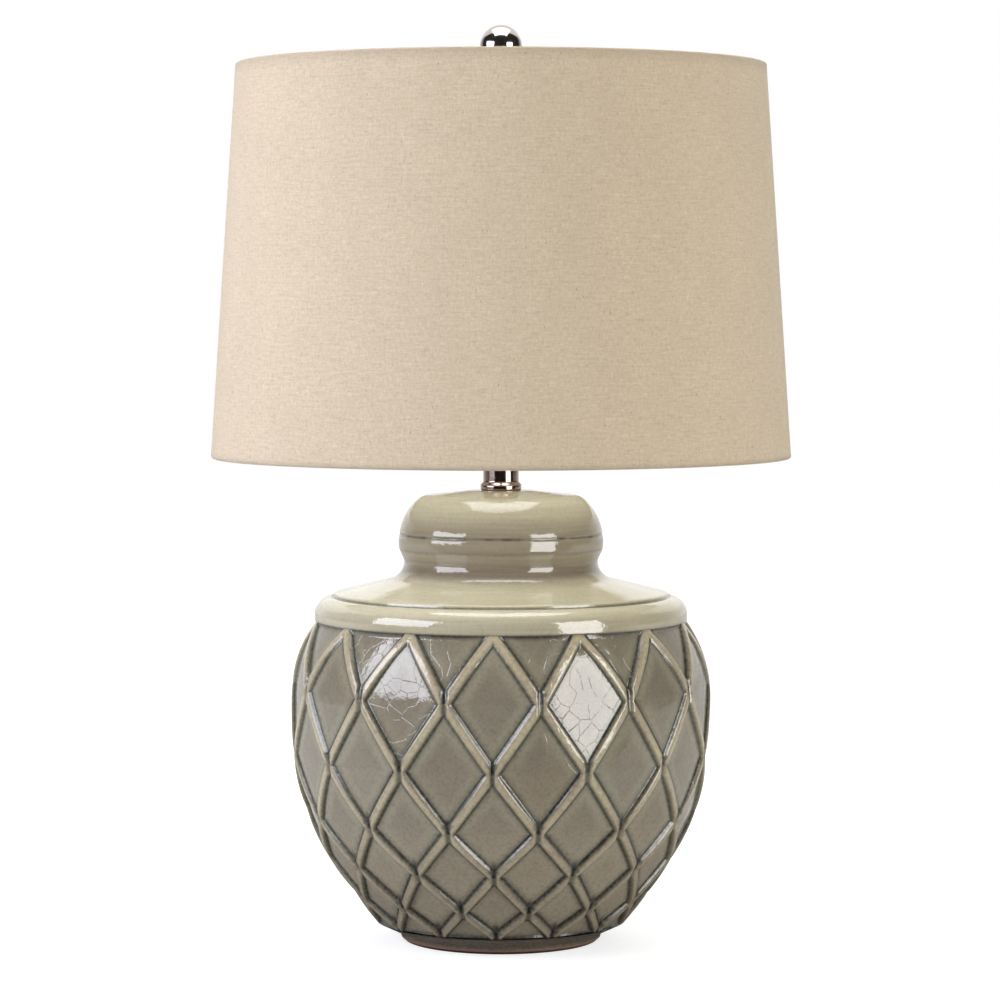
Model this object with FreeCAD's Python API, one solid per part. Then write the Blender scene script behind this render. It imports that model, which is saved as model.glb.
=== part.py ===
"""A ginger jar table lamp: a glazed jar with a raised diamond lattice, a metal neck, and a drum shade.

Units are millimetres. The origin is on the table under the centre of the foot, +Z is up and -Y is the
front. A threaded pipe holds the lamp together: a nut under the base plate pulls the jar, the neck, the harp
saddle and the bulb socket against each other. The harp stands on the saddle round the bulb and carries the
shade on a threaded stud, where the finial clamps it.
"""

import FreeCAD
import Part

import math
import os

from FreeCAD import Matrix, Vector

Z_AXIS = Vector(0, 0, 1)
ORIGIN = Vector(0, 0, 0)

# ---------------------------------------------------------------- driving dimensions

# Running gap between pieces that turn or slide on each other, the looser one of a piece that is dropped in,
# and how far a cut runs past the faces it opens.
RUNNING_GAP = 0.05
LOOSE_GAP = 0.2
OVERCUT = 1.0

# Jar: heights of the stretches of its outline, from the foot up.
FOOT_RING_HEIGHT = 4.0
FOOT_FLARE_HEIGHT = 8.0
FLANK_LOWER_HEIGHT = 44.5
FLANK_UPPER_HEIGHT = 92.0
BELLY_STRAIGHT_HEIGHT = 21.5
BELLY_UPPER_HEIGHT = 54.5
LEDGE_HEIGHT = 16.5
SHOULDER_STEP = 2.4
SHOULDER_HEIGHT = 12.1
NECKING_HEIGHT = 10.5
CAP_UNDERSIDE_HEIGHT = 9.0
CAP_BAND_HEIGHT = 9.8
CAP_DOME_HEIGHT = 30.7

# Jar: radii of the same outline.
FOOT_RADIUS = 70.5
FOOT_EDGE_ROUND = 1.0
FOOT_STEP = 1.5
FOOT_FLARE_ROUND = 2.0
LATTICE_FOOT_RADIUS = 88.0
FLANK_RADIUS = 120.8
BELLY_RADIUS = 147.5
LEDGE_RADIUS = 131.0
LEDGE_ROUND = 12.4
SHOULDER_EDGE_RADIUS = 117.2
SHOULDER_EDGE_ROUND = 1.0
SHOULDER_FOOT_ROUND = 10.0
NECKING_RADIUS = 68.0
CAP_BAND_RADIUS = 72.0
CAP_SIDE_RADIUS = 61.8
CAP_SIDE_DROP = 4.2
CAP_SIDE_ROUND = 18.0
CAP_BAND_ROUND = 12.0
NECKING_ROUND = 8.0
CAP_SEAT_RADIUS = 20.0
CAP_SEAT_ROUND = 90.0
CAP_GROOVE_DEPTH = 0.4
CAP_GROOVE_WIDTH = 1.2

# Jar: walls and holes.
JAR_WALL = 6.0
FOOT_RING_WALL = 12.5
FOOT_RECESS_DEPTH = 10.5
JAR_BOTTOM_HOLE_RADIUS = 38.0
JAR_TOP_HOLE_RADIUS = 9.0

# Lattice: diamonds round the jar, the heights of its rows of crossings as shares of the belly's height from
# the ledge down, and the ribs. The phase turns the lattice about the jar's axis, in degrees. A slit reaches
# above and below its crossing by a share of the rib's width there.
DIAMONDS_ROUND = 14
LATTICE_PHASE = -2.3
ROW_SHARES = (0.0, 0.212, 0.433, 0.632, 0.779, 0.910, 1.0)
RIB_HEIGHT = 2.4
RIB_WIDTH_TOP = 8.6
RIB_WIDTH_BOTTOM = 6.0
PANEL_CORNER_RADIUS = 2.0
LEDGE_LAND = 0.8
SLIT_WIDTH = 3.4
SLIT_DEPTH = 1.5
SLIT_REACH = 0.66
SLIT_END_ROUND = 1.5
PANEL_TOOL_MARGIN = 6.0

# Closing of the jar's underside.
FELT_THICKNESS = 1.5
FELT_INSET = 2.5
BASE_PLATE_RADIUS = 50.0
BASE_PLATE_THICKNESS = 1.6
PLATE_CORD_HOLE_RADIUS = 6.0
PLATE_CORD_HOLE_OFFSET = 26.0

# Threaded pipe with its nuts and washers.
PIPE_RADIUS = 5.0
PIPE_BORE_RADIUS = 3.4
PIPE_THREAD_BELOW_NUT = 1.6
NUT_FLATS = 14.0
NUT_HEIGHT = 4.0
NUT_CHAMFER = 0.8
LOCK_NUT_HEIGHT = 3.0
WASHER_RADIUS = 9.0
WASHER_THICKNESS = 1.2
TOP_BUSHING_FLANGE_RADIUS = 10.6
TOP_BUSHING_FLANGE = 1.2
TOP_BUSHING_DEPTH = 6.0

# Cord bushing in a lattice panel at the back of the jar. No cord is fitted.
CORD_BORE_RADIUS = 3.2
BUSHING_RADIUS = 5.5
BUSHING_FLANGE_RADIUS = 8.5
BUSHING_FLANGE = 2.0
BUSHING_TAIL = 3.0
BUSHING_RIM_ROUND = 0.8
BUSHING_SEAT_DEPTH = 1.5

# Neck.
NECK_HEIGHT = 34.0
NECK_RADIUS = 12.5
NECK_WALL = 1.2
NECK_WEB = 1.5
COLLAR_RADIUS = 14.4
COLLAR_HEIGHT = 5.6
COLLAR_BEAD_HEIGHT = 3.6
COLLAR_CHAMFER = 0.8
COLLAR_ROUND = 0.9

# Harp saddle, harp and ferrules.
SADDLE_THICKNESS = 1.2
SADDLE_WIDTH = 11.0
SADDLE_HALF_SPAN = 32.6
EAR_WIDTH = 4.4
EAR_HEIGHT = 12.8
HARP_WIRE_RADIUS = 1.7
HARP_HALF_WIDTH = 57.0
HARP_HEIGHT = 249.7
HARP_LEG_STRAIGHT = 30.0
HARP_WIDEST_FROM = 80.0
HARP_WIDEST_TO = 165.0
HARP_TOP_HALF_WIDTH = 24.0
FERRULE_HEIGHT = 10.0
FERRULE_RADIUS = 4.5
FERRULE_SEAT_GAP = 0.3
STUD_RADIUS = 3.1
STUD_LENGTH = 13.5
STUD_SEAT_RADIUS = 7.0
STUD_SEAT_THICKNESS = 1.6
STUD_RIVET_RADIUS = 4.2

# Bulb socket.
CAP_COLLAR_RADIUS = 7.6
CAP_COLLAR_HEIGHT = 6.0
CAP_BOWL_HEIGHT = 10.0
CAP_RIM_HEIGHT = 8.0
SOCKET_SHEET = 0.7
SHELL_RADIUS = 17.9
SHELL_HEIGHT = 46.0
SHELL_LIP = 1.0
SHELL_BASE_RISE = 15.4
LINER_THICKNESS = 0.8
SOCKET_BODY_HEIGHT = 19.0
SOCKET_BODY_RISE = 3.0
SCREW_SHELL_RADIUS = 14.3
SCREW_SHELL_HEIGHT = 21.0
TERMINAL_HEAD_RADIUS = 3.2
TERMINAL_HEAD_HEIGHT = 2.0
TERMINAL_FLAT = 12.4
CONTACT_THICKNESS = 0.8
CONTACT_WIDTH = 6.0
CONTACT_SPRING_HEIGHT = 2.4
SET_SCREW_RADIUS = 1.4
SET_SCREW_LENGTH = 4.5

# Turn knob of the switch, on a shaft that points to the front.
SHAFT_RADIUS = 1.8
SHAFT_RISE = 9.0
SHELL_HOLE_GAP = 1.4
LINER_HOLE_GAP = 1.8
KNOB_RADIUS = 6.6
KNOB_LENGTH = 15.0
KNOB_STANDOFF = 7.0
KNOB_SHAFT_DEPTH = 9.0
KNOB_FLUTES = 12
KNOB_FLUTE_RADIUS = 0.9

# Bulb with its screw base.
BULB_RADIUS = 30.0
BULB_LENGTH = 108.0
BULB_GLASS = 0.9
BULB_NECK_RADIUS = 14.5
BULB_SCREW_RADIUS = 12.7
THREAD_DEPTH = 0.8
THREAD_PITCH = 3.6
THREAD_TURNS = 5
BULB_TIP_RADIUS = 4.8
BULB_TIP_HEIGHT = 1.6
BULB_INSULATOR_HEIGHT = 4.0

# Shade.
SHADE_BOTTOM_RADIUS = 203.2
SHADE_TOP_RADIUS = 185.0
SHADE_HEIGHT = 274.6
SHADE_RIM_ABOVE_HUB = 8.6
FABRIC_THICKNESS = 0.9
LINER_SHEET = 0.6
SHADE_RING_WIRE_RADIUS = 1.6
HEM_FLAP = 12.0
HEM_GAP = 0.35
SEAM_WIDTH = 11.0
SEAM_THICKNESS = 0.7
HUB_RADIUS = 10.0
HUB_HEIGHT = 4.0
HUB_BORE_RADIUS = 3.4
ARM_COUNT = 3
ARM_WIRE_RADIUS = 1.5
ARM_SOCKET_DEPTH = 3.0
ARM_LEVEL_LENGTH = 14.0
ARM_BEND_RADIUS = 30.0

# Finial.
FINIAL_BALL_RADIUS = 14.7
FINIAL_BALL_RISE = 21.0
FINIAL_BASE_RADIUS = 7.0
FINIAL_BASE_HEIGHT = 2.4
FINIAL_WAIST_RADIUS = 5.6
INSERT_WALL = 1.4
INSERT_LENGTH = 11.0

# ---------------------------------------------------------------- levels, from the table up

Z_FOOT = FELT_THICKNESS
Z_FLARE = Z_FOOT + FOOT_RING_HEIGHT
Z_LATTICE_FOOT = Z_FLARE + FOOT_FLARE_HEIGHT
Z_FLANK = Z_LATTICE_FOOT + FLANK_LOWER_HEIGHT
Z_BELLY = Z_FLANK + FLANK_UPPER_HEIGHT
Z_BELLY_TOP = Z_BELLY + BELLY_STRAIGHT_HEIGHT
Z_LEDGE = Z_BELLY_TOP + BELLY_UPPER_HEIGHT
Z_LEDGE_TOP = Z_LEDGE + LEDGE_HEIGHT
Z_SHOULDER = Z_LEDGE_TOP + SHOULDER_STEP
Z_NECKING_FOOT = Z_SHOULDER + SHOULDER_HEIGHT
Z_NECKING = Z_NECKING_FOOT + NECKING_HEIGHT
Z_CAP_BAND = Z_NECKING + CAP_UNDERSIDE_HEIGHT
Z_CAP_GROOVE = Z_CAP_BAND + CAP_BAND_HEIGHT
Z_JAR_TOP = Z_CAP_GROOVE + CAP_DOME_HEIGHT

Z_RECESS = Z_FOOT + FOOT_RECESS_DEPTH
Z_JAR_FLOOR = Z_RECESS + JAR_WALL
Z_PLATE = Z_RECESS - BASE_PLATE_THICKNESS
Z_BOTTOM_WASHER = Z_PLATE - WASHER_THICKNESS
Z_BOTTOM_NUT = Z_BOTTOM_WASHER - NUT_HEIGHT
Z_PIPE_END = Z_BOTTOM_NUT - PIPE_THREAD_BELOW_NUT

Z_SADDLE = Z_JAR_TOP + NECK_HEIGHT
Z_LOCK_WASHER = Z_SADDLE + SADDLE_THICKNESS
Z_LOCK_NUT = Z_LOCK_WASHER + WASHER_THICKNESS
Z_SOCKET = Z_LOCK_NUT + LOCK_NUT_HEIGHT
Z_PIPE_TOP = Z_SOCKET + CAP_COLLAR_HEIGHT - 1.0
Z_SHELL = Z_SOCKET + SHELL_BASE_RISE
Z_SHELL_TOP = Z_SHELL + SHELL_HEIGHT
Z_SOCKET_BODY = Z_SHELL + SOCKET_BODY_RISE
Z_SOCKET_BODY_TOP = Z_SOCKET_BODY + SOCKET_BODY_HEIGHT
Z_BULB_TIP = Z_SOCKET_BODY_TOP + CONTACT_SPRING_HEIGHT
Z_SHAFT = Z_SOCKET_BODY + SHAFT_RISE

Z_HARP_FOOT = Z_SADDLE + SADDLE_THICKNESS + 0.3
Z_STUD_SEAT = Z_SADDLE + HARP_HEIGHT
Z_HUB = Z_STUD_SEAT + STUD_SEAT_THICKNESS
Z_HUB_TOP = Z_HUB + HUB_HEIGHT
Z_SHADE_TOP = Z_HUB_TOP + SHADE_RIM_ABOVE_HUB
Z_SHADE_BOTTOM = Z_SHADE_TOP - SHADE_HEIGHT
Z_FINIAL = Z_HUB_TOP + LOOSE_GAP
Z_FINIAL_BALL = Z_HUB_TOP + FINIAL_BALL_RISE

PIPE_HOLE_RADIUS = PIPE_RADIUS + LOOSE_GAP

# ---------------------------------------------------------------- outlines and solids


def point(radius, z):
    """A point of an outline in the XZ plane."""
    return Vector(radius, 0, z)


def line(a, b):
    return Part.LineSegment(a, b).toShape()


def arc(a, middle, b):
    return Part.Arc(a, middle, b).toShape()


def rounded_path(corners):
    """Edges through (point, radius) corners: straight runs joined by tangent arcs of the given radii."""
    edges = []
    last = corners[0][0]
    for index in range(1, len(corners) - 1):
        corner, radius = corners[index]
        back = (corners[index - 1][0] - corner).normalize()
        ahead = (corners[index + 1][0] - corner).normalize()
        half = back.getAngle(ahead) / 2
        if radius <= 0 or half > math.radians(89.9):
            edges.append(line(last, corner))
            last = corner
            continue
        cut = radius / math.tan(half)
        start = corner + back * cut
        end = corner + ahead * cut
        towards = (back + ahead).normalize()
        middle = corner + towards * (radius / math.sin(half) - radius)
        if (start - last).Length > 1e-6:
            edges.append(line(last, start))
        edges.append(arc(start, middle, end))
        last = end
    edges.append(line(last, corners[-1][0]))
    return edges


def revolve(edges):
    """The solid that a closed outline in the XZ plane sweeps round the Z axis."""
    face = Part.Face(Part.Wire(edges))
    return face.revolve(ORIGIN, Z_AXIS, 360)


def revolve_polygon(corners):
    """Revolves a closed outline of (radius, z) or (radius, z, rounding) corners."""
    full = [(point(c[0], c[1]), c[2] if len(c) > 2 else 0.0) for c in corners]
    start = (full[0][0] + full[-1][0]) / 2
    return revolve(rounded_path([(start, 0.0)] + full + [(start, 0.0)]))


def disc(radius, z_low, z_high):
    return Part.makeCylinder(radius, z_high - z_low, Vector(0, 0, z_low))


def ring(outer, inner, z_low, z_high):
    return disc(outer, z_low, z_high).cut(disc(inner, z_low - OVERCUT, z_high + OVERCUT))


def rod(radius, start, end):
    along = end - start
    return Part.makeCylinder(radius, along.Length, start, along)


def hex_nut(z_low, height):
    corner = NUT_FLATS / math.sqrt(3)
    corners = [
        Vector(corner * math.cos(math.radians(60 * k)), corner * math.sin(math.radians(60 * k)), z_low)
        for k in range(7)
    ]
    prism = Part.Face(Part.makePolygon(corners)).extrude(Z_AXIS * height)
    z_high = z_low + height
    chamfered = revolve_polygon(
        [
            (0, z_low),
            (corner - NUT_CHAMFER, z_low),
            (corner, z_low + NUT_CHAMFER),
            (corner, z_high - NUT_CHAMFER),
            (corner - NUT_CHAMFER, z_high),
            (0, z_high),
        ]
    )
    bore = disc(PIPE_RADIUS + RUNNING_GAP, z_low - OVERCUT, z_high + OVERCUT)
    return prism.common(chamfered).cut(bore)


def sweep_wire(corners, radius):
    """A round wire along straight runs and tangent arcs."""
    path = Part.Wire(rounded_path(corners))
    first = path.Edges[0]
    start = first.Vertexes[0].Point
    direction = first.Vertexes[1].Point - start
    section = Part.Wire(Part.makeCircle(radius, start, direction))
    return path.makePipeShell([section], True, False)


def turned(shape, degrees):
    """A copy turned about the Z axis."""
    copy = shape.copy()
    copy.rotate(ORIGIN, Z_AXIS, degrees)
    return copy


# ---------------------------------------------------------------- jar


class Belly:
    """The belly's outline, from the lattice's foot up: two arcs, an upright stretch and a third arc.

    depth is how far below the tops of the ribs the outline lies, measured square to it.
    """

    def __init__(self, depth):
        inward = Vector(-1, 0, 0)
        widest = point(BELLY_RADIUS, Z_BELLY)
        widest_top = point(BELLY_RADIUS, Z_BELLY_TOP)
        flank = point(FLANK_RADIUS, Z_FLANK)
        foot = point(LATTICE_FOOT_RADIUS, Z_LATTICE_FOOT)
        ledge = point(LEDGE_RADIUS, Z_LEDGE)
        upper = arc_radius(widest_top, inward, ledge)
        middle = arc_radius(widest, inward, flank)
        middle_centre = widest + inward * middle
        flank_inward = (middle_centre - flank).normalize()
        lower = arc_radius(flank, flank_inward, foot)
        self.straight = BELLY_RADIUS - depth
        self.upper = (widest_top + inward * upper, upper - depth)
        self.middle = (middle_centre, middle - depth)
        self.lower = (flank + flank_inward * lower, lower - depth)
        self.z_flank = (flank + flank_inward * depth).z

    def arc_at(self, z):
        """Centre and radius of the arc at a height, outside the upright stretch."""
        if z >= Z_BELLY_TOP:
            return self.upper
        if z >= self.z_flank:
            return self.middle
        return self.lower

    def upright(self, z):
        return Z_BELLY <= z <= Z_BELLY_TOP

    def radius(self, z):
        if self.upright(z):
            return self.straight
        centre, size = self.arc_at(z)
        return centre.x + math.sqrt(size * size - (z - centre.z) ** 2)

    def slope(self, z):
        """Angle of the outward normal above the horizontal, in radians."""
        if self.upright(z):
            return 0.0
        centre, size = self.arc_at(z)
        return math.asin((z - centre.z) / size)

    def edges(self, z_high, z_low):
        """The outline's edges from z_high down to z_low."""
        return [
            arc_between(self.upper, z_high, Z_BELLY_TOP),
            line(point(self.straight, Z_BELLY_TOP), point(self.straight, Z_BELLY)),
            arc_between(self.middle, Z_BELLY, self.z_flank),
            arc_between(self.lower, self.z_flank, z_low),
        ]


def arc_between(circle, z_high, z_low):
    """The outer arc of a (centre, radius) circle between two heights."""
    centre, size = circle
    levels = (z_high, (z_high + z_low) / 2, z_low)
    return arc(*[point(centre.x + math.sqrt(size**2 - (z - centre.z) ** 2), z) for z in levels])


def arc_radius(start, inward, end):
    """Radius of the arc that starts square to the direction inward and passes through end."""
    chord = end - start
    return chord.dot(chord) / (2 * chord.dot(inward))


def jar_blank():
    """The whole jar, hollow, with the belly's surface at the tops of the ribs."""
    skin = Belly(0.0)
    cavity = Belly(RIB_HEIGHT + JAR_WALL)
    top = [
        (point(JAR_TOP_HOLE_RADIUS, Z_JAR_TOP), 0),
        (point(CAP_SEAT_RADIUS, Z_JAR_TOP), CAP_SEAT_ROUND),
        (point(CAP_SIDE_RADIUS, Z_JAR_TOP - CAP_SIDE_DROP), CAP_SIDE_ROUND),
        (point(CAP_BAND_RADIUS - CAP_GROOVE_DEPTH, Z_CAP_GROOVE + CAP_GROOVE_WIDTH), 0),
        (point(CAP_BAND_RADIUS - 2 * CAP_GROOVE_DEPTH, Z_CAP_GROOVE), 0),
        (point(CAP_BAND_RADIUS, Z_CAP_GROOVE - CAP_GROOVE_WIDTH / 2), 0),
        (point(CAP_BAND_RADIUS, Z_CAP_BAND), CAP_BAND_ROUND),
        (point(NECKING_RADIUS, Z_NECKING), NECKING_ROUND),
        (point(NECKING_RADIUS, Z_NECKING_FOOT), SHOULDER_FOOT_ROUND),
        (point(SHOULDER_EDGE_RADIUS, Z_SHOULDER), SHOULDER_EDGE_ROUND),
        (point(SHOULDER_EDGE_RADIUS, Z_LEDGE_TOP), 0),
        (point(LEDGE_RADIUS, Z_LEDGE_TOP), LEDGE_ROUND),
        (point(LEDGE_RADIUS, Z_LEDGE), 0),
    ]
    foot = [
        (point(LATTICE_FOOT_RADIUS, Z_LATTICE_FOOT), 0),
        (point(FOOT_RADIUS + FOOT_STEP, Z_FLARE), FOOT_FLARE_ROUND),
        (point(FOOT_RADIUS, Z_FLARE), 0),
        (point(FOOT_RADIUS, Z_FOOT), FOOT_EDGE_ROUND),
        (point(FOOT_RADIUS - FOOT_RING_WALL, Z_FOOT), FOOT_EDGE_ROUND),
        (point(FOOT_RADIUS - FOOT_RING_WALL, Z_RECESS), FOOT_FLARE_ROUND),
        (point(JAR_BOTTOM_HOLE_RADIUS, Z_RECESS), 0),
        (point(JAR_BOTTOM_HOLE_RADIUS, Z_JAR_FLOOR), 0),
        (point(cavity.radius(Z_JAR_FLOOR), Z_JAR_FLOOR), 0),
    ]
    inside = [
        (point(cavity.radius(Z_LEDGE), Z_LEDGE), 0),
        (point(SHOULDER_EDGE_RADIUS, Z_SHOULDER - JAR_WALL), JAR_WALL),
        (point(NECKING_RADIUS - JAR_WALL, Z_NECKING_FOOT - JAR_WALL), SHOULDER_FOOT_ROUND / 2),
        (point(NECKING_RADIUS - JAR_WALL, Z_CAP_BAND), NECKING_ROUND),
        (point(CAP_BAND_RADIUS - JAR_WALL, Z_CAP_GROOVE), NECKING_ROUND),
        (point(CAP_SIDE_RADIUS - JAR_WALL, Z_JAR_TOP - CAP_SIDE_DROP - JAR_WALL), CAP_SIDE_ROUND - JAR_WALL),
        (point(JAR_TOP_HOLE_RADIUS, Z_JAR_TOP - JAR_WALL), 0),
        (point(JAR_TOP_HOLE_RADIUS, Z_JAR_TOP), 0),
    ]
    outline = rounded_path(top) + skin.edges(Z_LEDGE, Z_LATTICE_FOOT) + rounded_path(foot)
    outline += reversed_edges(cavity.edges(Z_LEDGE, Z_JAR_FLOOR)) + rounded_path(inside)
    return revolve(outline)


def reversed_edges(edges):
    return list(reversed(edges))


def belly_core(depth):
    """A plug that fills the belly up to the given depth below the tops of the ribs."""
    inner = Belly(depth)
    low = Z_LATTICE_FOOT + 0.01
    high = Z_LEDGE - 0.01
    outline = [line(point(0, high), point(inner.radius(high), high))]
    outline += inner.edges(high, low)
    outline += [line(point(inner.radius(low), low), point(0, low)), line(point(0, low), point(0, high))]
    return revolve(outline)


def row_level(row):
    """Height of a row of crossings."""
    return Z_LEDGE - ROW_SHARES[row] * (Z_LEDGE - Z_LATTICE_FOOT)


def rib_width(z):
    share = (z - Z_LATTICE_FOOT) / (Z_LEDGE - Z_LATTICE_FOOT)
    return RIB_WIDTH_BOTTOM + (RIB_WIDTH_TOP - RIB_WIDTH_BOTTOM) * share


def on_skin(degrees, z):
    """A point of the belly's surface."""
    radius = Belly(0.0).radius(z)
    angle = math.radians(degrees)
    return Vector(radius * math.sin(angle), -radius * math.cos(angle), z)


class TangentPlane:
    """A plane on the belly's surface with its own flat coordinates: across, and up the slope."""

    def __init__(self, degrees, z):
        angle = math.radians(degrees)
        slope = Belly(0.0).slope(z)
        out = Vector(math.sin(angle), -math.cos(angle), 0)
        self.centre = on_skin(degrees, z)
        self.normal = out * math.cos(slope) + Z_AXIS * math.sin(slope)
        self.across = Vector(math.cos(angle), math.sin(angle), 0)
        self.up = Z_AXIS * math.cos(slope) - out * math.sin(slope)

    def flat(self, place):
        offset = place - self.centre
        return Vector(offset.dot(self.across), offset.dot(self.up), 0)

    def solid(self, flat_edges, depth, height):
        """Extrudes a flat outline from below the plane to above it."""
        frame = Matrix(self.across, self.up, self.normal, self.centre)
        face = Part.Face(Part.Wire(flat_edges))
        face.translate(Vector(0, 0, -depth))
        prism = face.extrude(Vector(0, 0, depth + height))
        return prism.transformed(frame)


def inset_polygon(corners, insets):
    """Moves each side of a convex flat polygon inwards; insets[k] is for the side from corner k on."""
    count = len(corners)
    centre = sum(corners, Vector()) / count
    sides = []
    for k in range(count):
        a, b = corners[k], corners[(k + 1) % count]
        along = (b - a).normalize()
        inward = Vector(-along.y, along.x, 0)
        if inward.dot(centre - a) < 0:
            inward = -inward
        sides.append((a + inward * insets[k], along))
    moved = []
    for k in range(count):
        (p, d), (q, e) = sides[k - 1], sides[k]
        share = ((q.x - p.x) * e.y - (q.y - p.y) * e.x) / (d.x * e.y - d.y * e.x)
        moved.append(p + d * share)
    return moved


def panel_tool(core, degrees, corners, insets, level):
    """The material between the ribs round one panel, above the panel's own surface."""
    plane = TangentPlane(degrees, level)
    flat = inset_polygon([plane.flat(on_skin(*corner)) for corner in corners], insets)
    start = (flat[0] + flat[-1]) / 2
    path = [(start, 0)] + [(corner, PANEL_CORNER_RADIUS) for corner in flat] + [(start, 0)]
    bulge = BELLY_RADIUS * (1 - math.cos(math.pi / DIAMONDS_ROUND))
    reach = bulge + RIB_HEIGHT + PANEL_TOOL_MARGIN
    return plane.solid(rounded_path(path), reach, reach).cut(core)


def lattice_tools():
    """What is cut from the jar's blank to leave the ribs: panels, and a slit at each crossing."""
    step = 360.0 / DIAMONDS_ROUND
    half = step / 2
    core = belly_core(RIB_HEIGHT)
    slit_core = belly_core(SLIT_DEPTH)
    rows = len(ROW_SHARES)
    tools = []
    for row in range(rows - 2):
        degrees = LATTICE_PHASE + half * (row % 2)
        corners = [
            (degrees, row_level(row)),
            (degrees - half, row_level(row + 1)),
            (degrees, row_level(row + 2)),
            (degrees + half, row_level(row + 1)),
        ]
        upper = rib_width((row_level(row) + row_level(row + 1)) / 2) / 2
        lower = rib_width((row_level(row + 1) + row_level(row + 2)) / 2) / 2
        insets = [upper, lower, lower, upper]
        tools.append(panel_tool(core, degrees, corners, insets, row_level(row + 1)))
    tools.append(top_panel(core, half))
    tools.append(bottom_panel(core, half))
    for row in range(1, rows - 1):
        tools.append(slit_tool(slit_core, row, half))
    return [turned(tool, step * k) for tool in tools for k in range(DIAMONDS_ROUND)]


def top_panel(core, half):
    """The half diamond under the ledge, between two rib tips."""
    degrees = LATTICE_PHASE + half
    corners = [
        (degrees - half, row_level(0)),
        (degrees, row_level(1)),
        (degrees + half, row_level(0)),
    ]
    side = rib_width(row_level(0)) / 2
    middle = (row_level(0) + row_level(1)) / 2
    return panel_tool(core, degrees, corners, [side, side, LEDGE_LAND], middle)


def bottom_panel(core, half):
    """The half diamond above the foot, under a crossing of the last row but one."""
    last = len(ROW_SHARES) - 1
    degrees = LATTICE_PHASE + half * ((last - 1) % 2)
    corners = [
        (degrees, row_level(last - 1)),
        (degrees - half, row_level(last)),
        (degrees + half, row_level(last)),
    ]
    side = rib_width(row_level(last)) / 2
    middle = (row_level(last - 1) + row_level(last)) / 2
    return panel_tool(core, degrees, corners, [side, LEDGE_LAND, side], middle)


def slit_tool(core, row, half):
    """The short upright slit between the two ribs that meet at a crossing."""
    degrees = LATTICE_PHASE + half * (row % 2)
    plane = TangentPlane(degrees, row_level(row))
    reach = rib_width(row_level(row)) * SLIT_REACH
    width = SLIT_WIDTH / 2
    low, high = Vector(0, -reach, 0), Vector(0, reach, 0)
    aside = Vector(width, 0, 0)
    corners = [low - aside, low + aside, high + aside, high - aside]
    start = (corners[0] + corners[-1]) / 2
    path = [(start, 0)] + [(corner, SLIT_END_ROUND) for corner in corners] + [(start, 0)]
    return plane.solid(rounded_path(path), SLIT_DEPTH + PANEL_TOOL_MARGIN, PANEL_TOOL_MARGIN).cut(core)


def bushing_plane():
    """Where the cord bushing sits: in the middle of the lowest whole panel at the back."""
    back = LATTICE_PHASE + 180.0
    return TangentPlane(back, row_level(len(ROW_SHARES) - 2))


def jar_body():
    plane = bushing_plane()
    jar = jar_blank().cut(lattice_tools())
    hole = rod(
        BUSHING_RADIUS + RUNNING_GAP,
        plane.centre - plane.normal * (RIB_HEIGHT + 2 * JAR_WALL),
        plane.centre + plane.normal * BUSHING_FLANGE_RADIUS,
    )
    return jar.cut(hole)


def cord_bushing():
    """A flanged sleeve pushed into the jar's wall from outside, with a lip on its inner end."""
    plane = bushing_plane()
    face = -BUSHING_SEAT_DEPTH
    inner = -(RIB_HEIGHT + JAR_WALL + BUSHING_TAIL)
    body = rod(BUSHING_RADIUS, plane.centre + plane.normal * inner, plane.centre + plane.normal * face)
    flange = rod(
        BUSHING_FLANGE_RADIUS,
        plane.centre + plane.normal * face,
        plane.centre + plane.normal * (face + BUSHING_FLANGE),
    )
    bore = rod(
        CORD_BORE_RADIUS,
        plane.centre + plane.normal * (inner - OVERCUT),
        plane.centre + plane.normal * (face + BUSHING_FLANGE + OVERCUT),
    )
    rim = [edge for edge in flange.Edges if on_outer_rim(edge, plane, face + BUSHING_FLANGE)]
    return body.fuse(flange.makeFillet(BUSHING_RIM_ROUND, rim)).cut(bore).removeSplitter()


def on_outer_rim(edge, plane, height):
    middle = edge.BoundBox.Center - plane.centre
    closed = isinstance(edge.Curve, Part.Circle)
    return closed and abs(middle.dot(plane.normal) - height) < 0.01


# ---------------------------------------------------------------- underside, pipe and neck


def felt_pad():
    return disc(FOOT_RADIUS - FELT_INSET, 0, FELT_THICKNESS)


def base_plate():
    plate = ring(BASE_PLATE_RADIUS, PIPE_HOLE_RADIUS, Z_PLATE, Z_RECESS)
    cord_hole = Part.makeCylinder(
        PLATE_CORD_HOLE_RADIUS,
        BASE_PLATE_THICKNESS + 2 * OVERCUT,
        Vector(0, PLATE_CORD_HOLE_OFFSET, Z_PLATE - OVERCUT),
    )
    return plate.cut(cord_hole)


def lamp_pipe():
    return ring(PIPE_RADIUS, PIPE_BORE_RADIUS, Z_PIPE_END, Z_PIPE_TOP)


def bottom_washer():
    return ring(WASHER_RADIUS, PIPE_HOLE_RADIUS, Z_BOTTOM_WASHER, Z_PLATE)


def bottom_nut():
    return hex_nut(Z_BOTTOM_NUT, NUT_HEIGHT)


def top_bushing():
    """Centres the pipe in the hole in the jar's top; its flange lies inside the neck."""
    body = ring(
        JAR_TOP_HOLE_RADIUS - LOOSE_GAP, PIPE_HOLE_RADIUS, Z_JAR_TOP - TOP_BUSHING_DEPTH, Z_JAR_TOP
    )
    flange = ring(TOP_BUSHING_FLANGE_RADIUS, PIPE_HOLE_RADIUS, Z_JAR_TOP, Z_JAR_TOP + TOP_BUSHING_FLANGE)
    return body.fuse(flange).removeSplitter()


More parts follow.
